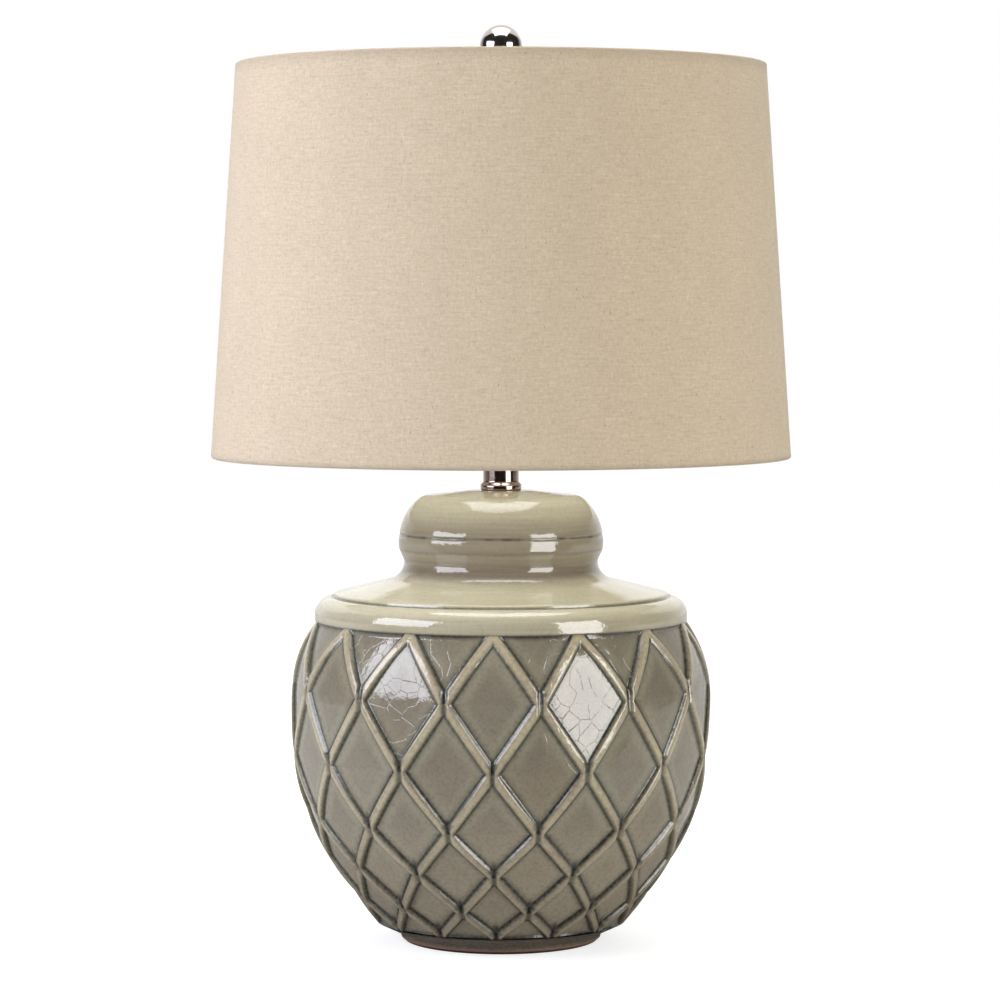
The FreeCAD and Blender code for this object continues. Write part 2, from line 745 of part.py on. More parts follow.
def neck():
    """A spun tube with a beaded collar at its foot and a web at its top that carries the saddle."""
    inner = NECK_RADIUS - NECK_WALL
    return revolve_polygon(
        [
            (inner, Z_JAR_TOP),
            (COLLAR_RADIUS - COLLAR_CHAMFER, Z_JAR_TOP),
            (COLLAR_RADIUS, Z_JAR_TOP + COLLAR_CHAMFER, COLLAR_ROUND / 2),
            (COLLAR_RADIUS, Z_JAR_TOP + COLLAR_BEAD_HEIGHT, COLLAR_ROUND),
            (NECK_RADIUS, Z_JAR_TOP + COLLAR_HEIGHT, COLLAR_ROUND),
            (NECK_RADIUS, Z_SADDLE, COLLAR_ROUND / 2),
            (PIPE_HOLE_RADIUS, Z_SADDLE),
            (PIPE_HOLE_RADIUS, Z_SADDLE - NECK_WEB),
            (inner, Z_SADDLE - NECK_WEB, COLLAR_ROUND / 2),
        ]
    )


# ---------------------------------------------------------------- harp


def ear_inner_face():
    return SADDLE_HALF_SPAN - SADDLE_THICKNESS


def harp_foot_offset():
    """Distance of the harp's legs from the lamp's axis, where they stand inside the saddle's ears."""
    return ear_inner_face() - RUNNING_GAP - HARP_WIRE_RADIUS


def harp_saddle():
    """A strip bent up at both ends into narrow ears."""
    length = 2 * SADDLE_HALF_SPAN
    corner = Vector(-length / 2, -SADDLE_WIDTH / 2, Z_SADDLE)
    strip = Part.makeBox(length, SADDLE_WIDTH, SADDLE_THICKNESS, corner)
    rounding = [e for e in strip.Edges if abs(e.Vertexes[0].Z - e.Vertexes[-1].Z) > SADDLE_THICKNESS / 2]
    strip = strip.makeFillet((SADDLE_WIDTH - EAR_WIDTH) / 2 - 0.01, rounding)
    parts = []
    for side in (-1, 1):
        low = side * SADDLE_HALF_SPAN if side < 0 else ear_inner_face()
        ear = Part.makeBox(
            SADDLE_THICKNESS, EAR_WIDTH, SADDLE_THICKNESS + EAR_HEIGHT, Vector(low, -EAR_WIDTH / 2, Z_SADDLE)
        )
        tips = [e for e in ear.Edges if e.BoundBox.ZMin > Z_SADDLE + EAR_HEIGHT and e.BoundBox.XLength > 0.1]
        parts.append(ear.makeFillet(EAR_WIDTH * 0.45, [e for e in tips if e.BoundBox.YLength < 0.01]))
    hole = disc(PIPE_HOLE_RADIUS, Z_SADDLE - OVERCUT, Z_LOCK_WASHER + OVERCUT)
    return strip.fuse(parts).cut(hole).removeSplitter()


def lock_washer():
    return ring(WASHER_RADIUS, PIPE_HOLE_RADIUS, Z_LOCK_WASHER, Z_LOCK_NUT)


def saddle_lock_nut():
    return hex_nut(Z_LOCK_NUT, LOCK_NUT_HEIGHT)


def harp_path():
    """Half of the harp's wire, from a foot up to the middle of its top, as corners with their radii."""
    foot = harp_foot_offset()
    top = Z_STUD_SEAT - HARP_WIRE_RADIUS
    return [
        (Vector(foot, 0, Z_HARP_FOOT), 0),
        (Vector(foot, 0, Z_SADDLE + HARP_LEG_STRAIGHT + 8), 30),
        (Vector(HARP_HALF_WIDTH, 0, Z_SADDLE + HARP_WIDEST_FROM), 60),
        (Vector(HARP_HALF_WIDTH, 0, Z_SADDLE + HARP_WIDEST_TO), 110),
        (Vector(HARP_TOP_HALF_WIDTH, 0, top), 14),
        (Vector(0, 0, top), 0),
    ]


def harp():
    right = harp_path()
    left = [(Vector(-corner.x, 0, corner.z), radius) for corner, radius in reversed(right[:-1])]
    return sweep_wire(right[:-1] + left, HARP_WIRE_RADIUS)


def harp_stud(harp_wire):
    """The seat for the shade, riveted round the top of the harp, with the stud that takes the finial."""
    rivet_foot = Z_STUD_SEAT - 2 * HARP_WIRE_RADIUS - 1.0
    rivet = disc(STUD_RIVET_RADIUS, rivet_foot, Z_STUD_SEAT)
    seat = disc(STUD_SEAT_RADIUS, Z_STUD_SEAT, Z_HUB)
    stud = disc(STUD_RADIUS, Z_HUB, Z_HUB + STUD_LENGTH)
    tip = [e for e in stud.Edges if e.BoundBox.ZMin > Z_HUB + STUD_LENGTH - 0.01]
    return rivet.fuse([seat, stud.makeChamfer(0.6, tip)]).removeSplitter().cut(harp_wire)


def ferrule_centre():
    """Distance from the axis to the middle of what a ferrule holds: a harp leg and an ear, side by side."""
    inner = harp_foot_offset() - HARP_WIRE_RADIUS
    return (inner + SADDLE_HALF_SPAN) / 2


def ferrule(side):
    low = Z_SADDLE + SADDLE_THICKNESS + FERRULE_SEAT_GAP
    reach = SADDLE_HALF_SPAN - ferrule_centre()
    bore = math.hypot(reach, EAR_WIDTH / 2) + LOOSE_GAP
    outer = max(FERRULE_RADIUS, bore + 0.8)
    sleeve = revolve_polygon(
        [
            (bore, low),
            (outer, low, 0.4),
            (outer, low + FERRULE_HEIGHT * 0.25, 0.3),
            (outer - 0.5, low + FERRULE_HEIGHT * 0.4, 0.3),
            (outer - 0.5, low + FERRULE_HEIGHT, 0.2),
            (bore, low + FERRULE_HEIGHT),
        ]
    )
    sleeve.translate(Vector(side * ferrule_centre(), 0, 0))
    return sleeve


# ---------------------------------------------------------------- socket and switch


def shell_inner_radius():
    return SHELL_RADIUS - SOCKET_SHEET


def liner_inner_radius():
    return shell_inner_radius() - LINER_THICKNESS - LOOSE_GAP


def shaft_clearance_hole(radius):
    return rod(radius, Vector(0, -TERMINAL_FLAT, Z_SHAFT), Vector(0, -SHELL_RADIUS - 5, Z_SHAFT))


def socket_cap():
    """The spun cup that screws on the pipe and takes the shell in its rim."""
    rim = SHELL_RADIUS + LOOSE_GAP + SOCKET_SHEET
    z_bowl = Z_SOCKET + CAP_COLLAR_HEIGHT
    z_rim = z_bowl + CAP_BOWL_HEIGHT
    z_top = z_rim + CAP_RIM_HEIGHT
    return revolve_polygon(
        [
            (PIPE_RADIUS + RUNNING_GAP, Z_SOCKET),
            (CAP_COLLAR_RADIUS, Z_SOCKET, 0.5),
            (CAP_COLLAR_RADIUS, z_bowl, 1.0),
            (rim - 5, z_bowl + 2.5, 4.0),
            (rim, z_rim - 2, 4.0),
            (rim, z_top - 1.2, 0.3),
            (rim + 0.5, z_top - 0.8, 0.3),
            (rim + 0.5, z_top, 0.3),
            (rim - SOCKET_SHEET, z_top),
            (rim - SOCKET_SHEET, z_rim - 2, 3.4),
            (rim - 5, z_bowl + 2.5 + SOCKET_SHEET, 4.0),
            (CAP_COLLAR_RADIUS - 1, z_bowl + SOCKET_SHEET),
            (PIPE_RADIUS + RUNNING_GAP, z_bowl + SOCKET_SHEET),
        ]
    ).cut(set_screw_hole())


def set_screw_ends():
    z = Z_SOCKET + CAP_COLLAR_HEIGHT / 2
    inner = Vector(0, PIPE_RADIUS + RUNNING_GAP, z)
    return inner, inner + Vector(0, SET_SCREW_LENGTH, 0)


def set_screw_hole():
    inner, outer = set_screw_ends()
    return rod(SET_SCREW_RADIUS + RUNNING_GAP, inner - Vector(0, 1, 0), outer + Vector(0, 1, 0))


def cap_set_screw():
    inner, outer = set_screw_ends()
    slot = Part.makeBox(4 * SET_SCREW_RADIUS, 0.8, 0.5, outer + Vector(-2 * SET_SCREW_RADIUS, -0.8, -0.25))
    return rod(SET_SCREW_RADIUS, inner, outer).cut(slot)


def socket_shell():
    """The outer metal sleeve, with a turned lip at its mouth and a hole for the switch shaft."""
    sleeve = revolve_polygon(
        [
            (shell_inner_radius(), Z_SHELL),
            (SHELL_RADIUS, Z_SHELL),
            (SHELL_RADIUS, Z_SHELL_TOP - 3, 0.4),
            (SHELL_RADIUS - SHELL_LIP, Z_SHELL_TOP - 1.5, 0.4),
            (SHELL_RADIUS - SHELL_LIP, Z_SHELL_TOP),
            (shell_inner_radius() - SHELL_LIP, Z_SHELL_TOP),
            (shell_inner_radius() - SHELL_LIP, Z_SHELL_TOP - 1.5, 0.4),
            (shell_inner_radius(), Z_SHELL_TOP - 3, 0.4),
        ]
    )
    return sleeve.cut(shaft_clearance_hole(SHAFT_RADIUS + SHELL_HOLE_GAP))


def socket_liner():
    """The fibre sleeve that insulates the shell from the live parts."""
    top = Z_SHELL_TOP - 4
    outer = shell_inner_radius() - LOOSE_GAP / 2
    sleeve = ring(outer, outer - LINER_THICKNESS, Z_SHELL + 1, top)
    return sleeve.cut(shaft_clearance_hole(SHAFT_RADIUS + LINER_HOLE_GAP))


def socket_body():
    """The moulded insulator that holds the contacts, with a flat on each side for a terminal screw."""
    radius = liner_inner_radius()
    body = disc(radius, Z_SOCKET_BODY, Z_SOCKET_BODY_TOP)
    for side in (-1, 1):
        low = TERMINAL_FLAT if side > 0 else -TERMINAL_FLAT - radius
        flat = Part.makeBox(radius, 2 * radius, SOCKET_BODY_HEIGHT - 5, Vector(low, -radius, Z_SOCKET_BODY))
        body = body.cut(flat)
    shaft = rod(SHAFT_RADIUS + RUNNING_GAP, Vector(0, 0, Z_SHAFT), Vector(0, -radius - 1, Z_SHAFT))
    screws = terminal_screws()
    return body.cut([shaft] + screws.Solids)


def terminal_screws():
    z = Z_SOCKET_BODY + (SOCKET_BODY_HEIGHT - 5) / 2
    screws = []
    for side in (-1, 1):
        face = Vector(side * TERMINAL_FLAT, 0, z)
        out = Vector(side, 0, 0)
        head = rod(TERMINAL_HEAD_RADIUS, face, face + out * TERMINAL_HEAD_HEIGHT)
        shank = rod(TERMINAL_HEAD_RADIUS / 2, face - out * 4, face)
        slot = Part.makeBox(1.2, 8, 0.8, face + out * TERMINAL_HEAD_HEIGHT + Vector(-0.6, -4, -0.4))
        screws.append(head.fuse(shank).cut(slot))
    return Part.makeCompound(screws)


def thread_outline(radius, z_low, depth):
    """The outline of rounded thread crests, one arc to a crest, going up from z_low."""
    edges = []
    for turn in range(THREAD_TURNS):
        z = z_low + turn * THREAD_PITCH
        crest = point(radius, z + THREAD_PITCH / 2)
        edges.append(arc(point(radius - depth, z), crest, point(radius - depth, z + THREAD_PITCH)))
    return edges


def screw_shell():
    """The threaded sleeve that the bulb screws into, on a flange that stands on the socket's body."""
    root = SCREW_SHELL_RADIUS
    wall = 0.5
    z_thread = Z_SOCKET_BODY_TOP + 1.5
    z_top = Z_SOCKET_BODY_TOP + SCREW_SHELL_HEIGHT
    outer = thread_outline(root, z_thread, THREAD_DEPTH)
    inner = thread_outline(root - wall, z_thread, THREAD_DEPTH)
    low_out = point(root - THREAD_DEPTH, Z_SOCKET_BODY_TOP)
    low_in = point(root - wall - THREAD_DEPTH, Z_SOCKET_BODY_TOP)
    high_out = point(root - THREAD_DEPTH, z_top)
    high_in = point(root - wall - THREAD_DEPTH, z_top)
    thread_end = z_thread + THREAD_TURNS * THREAD_PITCH
    outline = [line(low_out, point(low_out.x, z_thread))] + outer
    outline += [line(point(low_out.x, thread_end), high_out), line(high_out, high_in)]
    outline += [line(high_in, point(low_in.x, thread_end))] + reversed_edges(inner)
    outline += [line(point(low_in.x, z_thread), low_in), line(low_in, low_out)]
    return revolve(outline)


def centre_contact():
    """A leaf spring under the bulb's tip: a foot on the socket's body, a slope and a raised pad."""
    base = Z_SOCKET_BODY_TOP
    top = Z_BULB_TIP - CONTACT_THICKNESS
    corners = [
        Vector(-7, 0, base),
        Vector(-3, 0, base),
        Vector(-1.5, 0, top),
        Vector(4, 0, top),
        Vector(4, 0, top + CONTACT_THICKNESS),
        Vector(-2.1, 0, top + CONTACT_THICKNESS),
        Vector(-3.6, 0, base + CONTACT_THICKNESS),
        Vector(-7, 0, base + CONTACT_THICKNESS),
        Vector(-7, 0, base),
    ]
    leaf = Part.Face(Part.makePolygon(corners)).extrude(Vector(0, CONTACT_WIDTH, 0))
    leaf.translate(Vector(0, -CONTACT_WIDTH / 2, 0))
    return leaf


def knob_inner_face():
    return -(SHELL_RADIUS + KNOB_STANDOFF)


def switch_shaft():
    start = Vector(0, -2.0, Z_SHAFT)
    return rod(SHAFT_RADIUS, start, Vector(0, knob_inner_face() - KNOB_SHAFT_DEPTH, Z_SHAFT))


def switch_knob():
    """A fluted turn knob with a domed end."""
    inner = Vector(0, knob_inner_face(), Z_SHAFT)
    outer = inner + Vector(0, -KNOB_LENGTH, 0)
    knob = rod(KNOB_RADIUS, inner, outer)
    end = [e for e in knob.Edges if e.BoundBox.YMax < outer.y + 0.01]
    knob = knob.makeFillet(2.0, end)
    flutes = []
    for k in range(KNOB_FLUTES):
        angle = 2 * math.pi * k / KNOB_FLUTES
        offset = Vector(KNOB_RADIUS * math.cos(angle), 0, KNOB_RADIUS * math.sin(angle))
        past = Vector(0, OVERCUT, 0)
        flutes.append(rod(KNOB_FLUTE_RADIUS, inner + offset + past, outer + offset - past))
    return knob.cut(flutes + [switch_shaft()])


# ---------------------------------------------------------------- bulb


def bulb_levels():
    z_insulator = Z_BULB_TIP + BULB_TIP_HEIGHT
    z_thread = z_insulator + BULB_INSULATOR_HEIGHT
    z_glass = z_thread + THREAD_TURNS * THREAD_PITCH + 1.5
    return z_insulator, z_thread, z_glass


def bulb_contact():
    return revolve_polygon(
        [
            (0, Z_BULB_TIP),
            (BULB_TIP_RADIUS - 1, Z_BULB_TIP),
            (BULB_TIP_RADIUS, Z_BULB_TIP + BULB_TIP_HEIGHT),
            (0, Z_BULB_TIP + BULB_TIP_HEIGHT),
        ]
    )


def bulb_insulator():
    z_low, z_thread, _ = bulb_levels()
    z_seat = z_low + RUNNING_GAP
    return revolve_polygon(
        [
            (0, z_seat),
            (BULB_TIP_RADIUS + 0.6, z_seat),
            (BULB_SCREW_RADIUS - THREAD_DEPTH - 0.4, z_thread),
            (0, z_thread),
        ]
    )


def bulb_screw_cap():
    _, z_thread, z_glass = bulb_levels()
    root = BULB_SCREW_RADIUS - THREAD_DEPTH
    inner = root - 0.4
    outline = thread_outline(BULB_SCREW_RADIUS, z_thread, THREAD_DEPTH)
    z_end = z_thread + THREAD_TURNS * THREAD_PITCH
    outline += [
        line(point(root, z_end), point(root, z_glass)),
        line(point(root, z_glass), point(inner, z_glass)),
        line(point(inner, z_glass), point(inner, z_thread)),
        line(point(inner, z_thread), point(root, z_thread)),
    ]
    return revolve(outline)


def bulb_glass():
    """The pear-shaped envelope: a globe, a waist and a neck that stands on the screw cap."""
    _, _, z_glass = bulb_levels()
    centre = Z_BULB_TIP + BULB_LENGTH - BULB_RADIUS
    outer = bulb_outline(BULB_RADIUS, BULB_NECK_RADIUS, z_glass, centre)
    inner = bulb_outline(BULB_RADIUS - BULB_GLASS, BULB_NECK_RADIUS - BULB_GLASS, z_glass, centre)
    foot = line(point(BULB_NECK_RADIUS - BULB_GLASS - 3, z_glass), point(BULB_NECK_RADIUS - 3, z_glass))
    top = line(point(0, centre + BULB_RADIUS), point(0, centre + BULB_RADIUS - BULB_GLASS))
    return revolve([foot] + outer + [top] + reversed_edges(inner))


def bulb_outline(radius, neck_radius, z_low, centre):
    """From the foot of the neck up to the crown."""
    neck_top = z_low + 12
    tangent = math.radians(-38)
    join = point(radius * math.cos(tangent), centre + radius * math.sin(tangent))
    shoulder = point(neck_radius, neck_top)
    slope = Vector(-math.sin(tangent), 0, math.cos(tangent))
    middle = (shoulder + join) / 2 - Vector(slope.z, 0, -slope.x) * 0.9
    return [
        line(point(neck_radius - 3, z_low), point(neck_radius, z_low + 4)),
        line(point(neck_radius, z_low + 4), shoulder),
        arc(shoulder, middle, join),
        arc(join, point(radius, centre), point(0, centre + radius)),
    ]


# ---------------------------------------------------------------- shade


class Wall:
    """Flat coordinates of the shade's wall: a runs up from the bottom edge, b outwards from the fabric."""

    def __init__(self):
        low = point(SHADE_BOTTOM_RADIUS, Z_SHADE_BOTTOM)
        high = point(SHADE_TOP_RADIUS, Z_SHADE_TOP)
        self.low = low
        self.length = (high - low).Length
        self.up = (high - low).normalize()
        self.out = Vector(self.up.z, 0, -self.up.x)

    def at(self, a, b):
        return self.low + self.up * a + self.out * b


def fold_radius():
    """Outer radius of the fabric's fold round a wire ring and the liner."""
    held = 2 * SHADE_RING_WIRE_RADIUS + LINER_SHEET + 3 * HEM_GAP
    return held / 2 + FABRIC_THICKNESS


def shade_fabric():
    """The cover: one wall, folded inwards over both wire rings, with a lapped seam down the back."""
    wall = Wall()
    f = fold_radius()
    t = FABRIC_THICKNESS
    top = wall.length
    flap = f + HEM_FLAP
    outline = [
        line(wall.at(f, 0), wall.at(top - f, 0)),
        arc(wall.at(top - f, 0), wall.at(top, -f), wall.at(top - f, -2 * f)),
        line(wall.at(top - f, -2 * f), wall.at(top - flap, -2 * f)),
        line(wall.at(top - flap, -2 * f), wall.at(top - flap, t - 2 * f)),
        line(wall.at(top - flap, t - 2 * f), wall.at(top - f, t - 2 * f)),
        arc(wall.at(top - f, t - 2 * f), wall.at(top - t, -f), wall.at(top - f, -t)),
        line(wall.at(top - f, -t), wall.at(f, -t)),
        arc(wall.at(f, -t), wall.at(t, -f), wall.at(f, t - 2 * f)),
        line(wall.at(f, t - 2 * f), wall.at(flap, t - 2 * f)),
        line(wall.at(flap, t - 2 * f), wall.at(flap, -2 * f)),
        line(wall.at(flap, -2 * f), wall.at(f, -2 * f)),
        arc(wall.at(f, -2 * f), wall.at(0, -f), wall.at(f, 0)),
    ]
    return revolve(outline).fuse(shade_seam(wall, f)).removeSplitter().cut(hem_notches())


def shade_seam(wall, fold):
    """The strip where the cover's end laps over its start, as thick as one more layer."""
    inner = wall.at(fold, -FABRIC_THICKNESS / 2)
    outer = wall.at(fold, SEAM_THICKNESS)
    upper_outer = wall.at(wall.length - fold, SEAM_THICKNESS)
    upper_inner = wall.at(wall.length - fold, -FABRIC_THICKNESS / 2)
    section = Part.Face(Part.makePolygon([inner, outer, upper_outer, upper_inner, inner]))
    sweep = math.degrees(SEAM_WIDTH / SHADE_BOTTOM_RADIUS)
    return turned(section.revolve(ORIGIN, Z_AXIS, sweep), 90 - sweep / 2)


def shade_liner():
    """The stiff plastic sheet that the fabric is bonded to."""
    wall = Wall()
    f = fold_radius()
    outer = -FABRIC_THICKNESS - RUNNING_GAP / 2
    inner = outer - LINER_SHEET
    high = wall.length - f
    corners = [wall.at(f, outer), wall.at(high, outer), wall.at(high, inner), wall.at(f, inner)]
    return revolve_polygon([(corner.x, corner.z) for corner in corners])


def shade_ring_centre(at_top):
    wall = Wall()
    a = wall.length - fold_radius() if at_top else fold_radius()
    b = -(2 * fold_radius() - FABRIC_THICKNESS - SHADE_RING_WIRE_RADIUS - HEM_GAP)
    return wall.at(a, b)


def shade_ring(at_top):
    centre = shade_ring_centre(at_top)
    return Part.makeTorus(centre.x, SHADE_RING_WIRE_RADIUS, Vector(0, 0, centre.z))


def spider_hub():
    hub = ring(HUB_RADIUS, HUB_BORE_RADIUS, Z_HUB, Z_HUB_TOP)
    rims = [e for e in hub.Edges if isinstance(e.Curve, Part.Circle) and e.Curve.Radius > HUB_RADIUS - 0.01]
    return hub.makeFillet(0.7, rims)


def arm_path():
    """The middle line of the first arm, from inside the hub to the middle of the top ring."""
    level = (Z_HUB + Z_HUB_TOP) / 2
    return [
        (Vector(HUB_RADIUS - ARM_SOCKET_DEPTH, 0, level), 0),
        (Vector(HUB_RADIUS + ARM_LEVEL_LENGTH, 0, level), ARM_BEND_RADIUS),
        (shade_ring_centre(True), 0),
    ]


def round_the_arms(shape):
    """Copies of what belongs to the first arm, one for each arm; the first arm points to the back."""
    return [turned(shape, 90 + 360.0 * k / ARM_COUNT) for k in range(ARM_COUNT)]


def spider_arms():
    """Wires from the hub to the top ring, level at the hub and then rising, welded at both ends."""
    arm = sweep_wire(arm_path(), ARM_WIRE_RADIUS).cut([spider_hub(), shade_ring(True)])
    return Part.makeCompound(round_the_arms(arm))


def hem_notches():
    """The openings in the cover's inner flap that the arms pass through."""
    start, end = arm_path()[-2][0], arm_path()[-1][0]
    return round_the_arms(rod(ARM_WIRE_RADIUS + LOOSE_GAP, start, end))


# ---------------------------------------------------------------- finial


def finial_insert():
    """The threaded sleeve inside the finial."""
    return ring(
        STUD_RADIUS + RUNNING_GAP + INSERT_WALL, STUD_RADIUS + RUNNING_GAP, Z_FINIAL, Z_FINIAL + INSERT_LENGTH
    )


def finial_knob():
    """A ball on a small turned base."""
    hole = STUD_RADIUS + 2 * RUNNING_GAP + INSERT_WALL
    base_top = Z_FINIAL + FINIAL_BASE_HEIGHT
    ball = Part.makeSphere(FINIAL_BALL_RADIUS, Vector(0, 0, Z_FINIAL_BALL))
    base = revolve_polygon(
        [
            (0, Z_FINIAL),
            (FINIAL_BASE_RADIUS, Z_FINIAL, 0.6),
            (FINIAL_BASE_RADIUS, base_top, 0.9),
            (FINIAL_WAIST_RADIUS, base_top + 0.8, 0.6),
            (FINIAL_WAIST_RADIUS, Z_FINIAL_BALL - FINIAL_BALL_RADIUS / 2),
            (0, Z_FINIAL_BALL - FINIAL_BALL_RADIUS / 2),
        ]
    )
    bore = disc(hole, Z_FINIAL - 1, max(Z_FINIAL + INSERT_LENGTH, Z_HUB + STUD_LENGTH) + 1)
    return ball.fuse(base).removeSplitter().cut(bore)


# ---------------------------------------------------------------- all pieces


def pieces():
    wire = harp()
    return {
        "jar_body": jar_body(),
        "felt_pad": felt_pad(),
        "base_plate": base_plate(),
        "lamp_pipe": lamp_pipe(),
        "bottom_washer": bottom_washer(),
        "bottom_nut": bottom_nut(),
        "cord_bushing": cord_bushing(),
        "top_bushing": top_bushing(),
        "neck": neck(),
        "harp_saddle": harp_saddle(),
        "lock_washer": lock_washer(),
        "saddle_lock_nut": saddle_lock_nut(),
        "harp": wire,
        "harp_stud": harp_stud(wire),
        "ferrule_left": ferrule(-1),
        "ferrule_right": ferrule(1),
        "socket_cap": socket_cap(),
        "cap_set_screw": cap_set_screw(),
        "socket_shell": socket_shell(),
        "socket_liner": socket_liner(),
        "socket_body": socket_body(),
        "terminal_screws": terminal_screws(),
        "screw_shell": screw_shell(),
        "centre_contact": centre_contact(),
        "switch_shaft": switch_shaft(),
        "switch_knob": switch_knob(),
        "bulb_contact": bulb_contact(),
        "bulb_insulator": bulb_insulator(),
        "bulb_screw_cap": bulb_screw_cap(),
        "bulb_glass": bulb_glass(),
        "shade_fabric": shade_fabric(),
        "shade_liner": shade_liner(),
        "shade_top_ring": shade_ring(True),
        "shade_bottom_ring": shade_ring(False),
        "spider_hub": spider_hub(),
        "spider_arms": spider_arms(),
        "finial_insert": finial_insert(),
        "finial_knob": finial_knob(),
    }


os.makedirs("parts", exist_ok=True)
for name, shape in pieces().items():
    box = shape.BoundBox
    print(
        f"{name:18s} solids {len(shape.Solids):2d} valid {shape.isValid()} volume {shape.Volume:12.1f}"
        f"  z {box.ZMin:7.2f} to {box.ZMax:7.2f}"
    )
    shape.exportStep(os.path.join("parts", name + ".step"))
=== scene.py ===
"""Looks of the ginger jar lamp: glazed lattice jar, linen drum shade, polished metal fittings.

The lamp's own sizes are in millimetres and become metres where a mesh is made. The camera, the studio and
the materials are measured in metres. The lamp stands on the floor at z = 0 and its front is -Y.
"""

import math

import bmesh
import bpy
import numpy as np
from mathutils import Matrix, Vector


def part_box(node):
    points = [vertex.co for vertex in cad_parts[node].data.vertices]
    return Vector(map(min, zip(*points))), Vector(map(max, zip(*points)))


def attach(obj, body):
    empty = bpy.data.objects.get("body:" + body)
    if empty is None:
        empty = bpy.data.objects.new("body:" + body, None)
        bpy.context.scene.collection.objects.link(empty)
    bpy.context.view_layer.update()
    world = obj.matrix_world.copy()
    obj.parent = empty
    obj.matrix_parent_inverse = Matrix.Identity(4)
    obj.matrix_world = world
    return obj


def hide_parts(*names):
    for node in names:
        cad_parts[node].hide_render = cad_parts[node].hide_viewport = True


MM = 0.001

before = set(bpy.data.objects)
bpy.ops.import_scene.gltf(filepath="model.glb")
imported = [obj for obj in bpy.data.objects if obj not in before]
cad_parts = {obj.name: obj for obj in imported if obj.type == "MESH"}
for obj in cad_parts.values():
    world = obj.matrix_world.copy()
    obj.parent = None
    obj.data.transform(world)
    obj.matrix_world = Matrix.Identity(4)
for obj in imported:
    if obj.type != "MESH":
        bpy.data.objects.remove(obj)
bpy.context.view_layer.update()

# ---------------- sizes

# Camera, as the photograph gives it: level, distance and side of its eye, downward tilt and focal length.
EYE_HEIGHT = 0.4525
EYE_DISTANCE = 2.560
EYE_SIDE = -0.0007
EYE_TILT = math.radians(3.19)
FOCAL_MM = 131.3
SENSOR_MM = 36.0

# Jar outline: levels above the table, from the felt up to the cap's top.
FELT = 1.5
Z_FLARE = 5.5
Z_LATTICE_FOOT = 13.5
Z_FLANK = 58.0
Z_BELLY = 150.0
Z_BELLY_TOP = 171.5
Z_LEDGE = 226.0
Z_LEDGE_TOP = 242.5
Z_SHOULDER = 244.9
Z_NECKING_FOOT = 257.0
Z_NECKING = 267.5
Z_CAP_BAND = 276.5
Z_CAP_GROOVE = 286.3
Z_CAP_TURN = 298.0
Z_CAP_CROWN = 313.4
Z_JAR_TOP = 317.0

# Jar outline: radii, the depth of the hole in its top, and the depth and width of the cap's groove.
R_FOOT = 70.5
R_FOOT_INSIDE = 58.0
R_FOOT_FLARE = 79.0
R_LATTICE_FOOT = 88.0
R_FLANK = 120.8
R_BELLY = 147.5
R_LEDGE = 131.0
R_SHOULDER = 117.2
R_NECKING = 68.0
R_CAP_BAND = 72.0
R_CAP_CROWN = 56.1
R_CAP_SEAT = 20.0
R_TOP_HOLE = 9.0
TOP_HOLE_DEPTH = 6.0
CAP_GROOVE_DEPTH = 0.5
CAP_GROOVE_WIDTH = 0.9

# Jar outline: roundings of its corners, from the ledge up and then at the foot.
LEDGE_ROUND = 12.4
SHOULDER_ROUND = 1.0
NECKING_SWEEP = 14.0
NECKING_ROUND = 8.0
BAND_ROUND = 12.0
CAP_ROUND = 40.0
CROWN_ROUND = 14.0
TOP_ROUND = 90.0
FLARE_ROUND = 30.0
FOOT_ROUND = 1.2

# Underside of the jar: its ceiling within the foot ring, and the opening in its middle.
Z_FOOT_CEILING = 12.0
Z_OPENING = 18.0
R_OPENING = 38.0

# Lattice: diamonds round the belly, its turn, and the shares of the belly's height where ribs meet.
DIAMONDS = 14
LATTICE_TURN = math.radians(-2.3)
ROW_SHARES = (0.0, 0.212, 0.433, 0.632, 0.779, 0.910, 1.0)

# Ribs: half width at the ledge and at the foot, its share that is flat crest, and the flank beyond it.
RIB_HALF_TOP = 4.3
RIB_HALF_FOOT = 3.4
RIB_CREST = 0.5
RIB_FLANK = 0.4

# Panels: depth of their middle below the ribs' tops, share of the belly's bulge that they lose, least depth
# and how softly it is met, and spread of their tilts. The last is how far from the ledge or the foot the
# centre of a panel cut off there lies, as a share of its row.
PANEL_DEPTH = 3.5
PANEL_FLATNESS = 0.44
PANEL_LEAST_DEPTH = 1.3
PANEL_SOFTNESS = 0.5
PANEL_TILT = 0.011
END_PANEL_CENTRE = 0.36

# Slits that part two ribs at a crossing: half width, shares of it between which the side rises, depth,
# length, and length of the taper. The last is the glaze pooled below the crossing, as a share of that above.
SLIT_HALF = 1.9
SLIT_SIDE = (0.35, 1.5)
SLIT_DEPTH = 1.7
SLIT_REACH = 10.0
SLIT_TAPER = 4.0
SLIT_LOW_POOL = 0.62

# Glaze pooled beside a rib: share, distance from the rib and width of the dark line and of its soft shadow.
UPPER_LINE = (0.88, 0.0, 1.25)
UPPER_SHADOW = (0.30, 0.0, 3.0)
LOWER_LINE = (1.0, 0.2, 1.7)
LOWER_SHADOW = (0.46, 0.5, 3.6)

# Glaze pooled in a panel's lowest corner: level of its middle above the crossing, its height and its width.
CORNER_RISE = 7.0
CORNER_TALL = 5.5
CORNER_WIDE = 4.2

# Darker glaze in the middle of a panel: distances from the rib between which it grows, and its share in the
# lower half.
MIDDLE_GROWTH = (1.5, 12.0)
LOWER_MIDDLE = 0.85

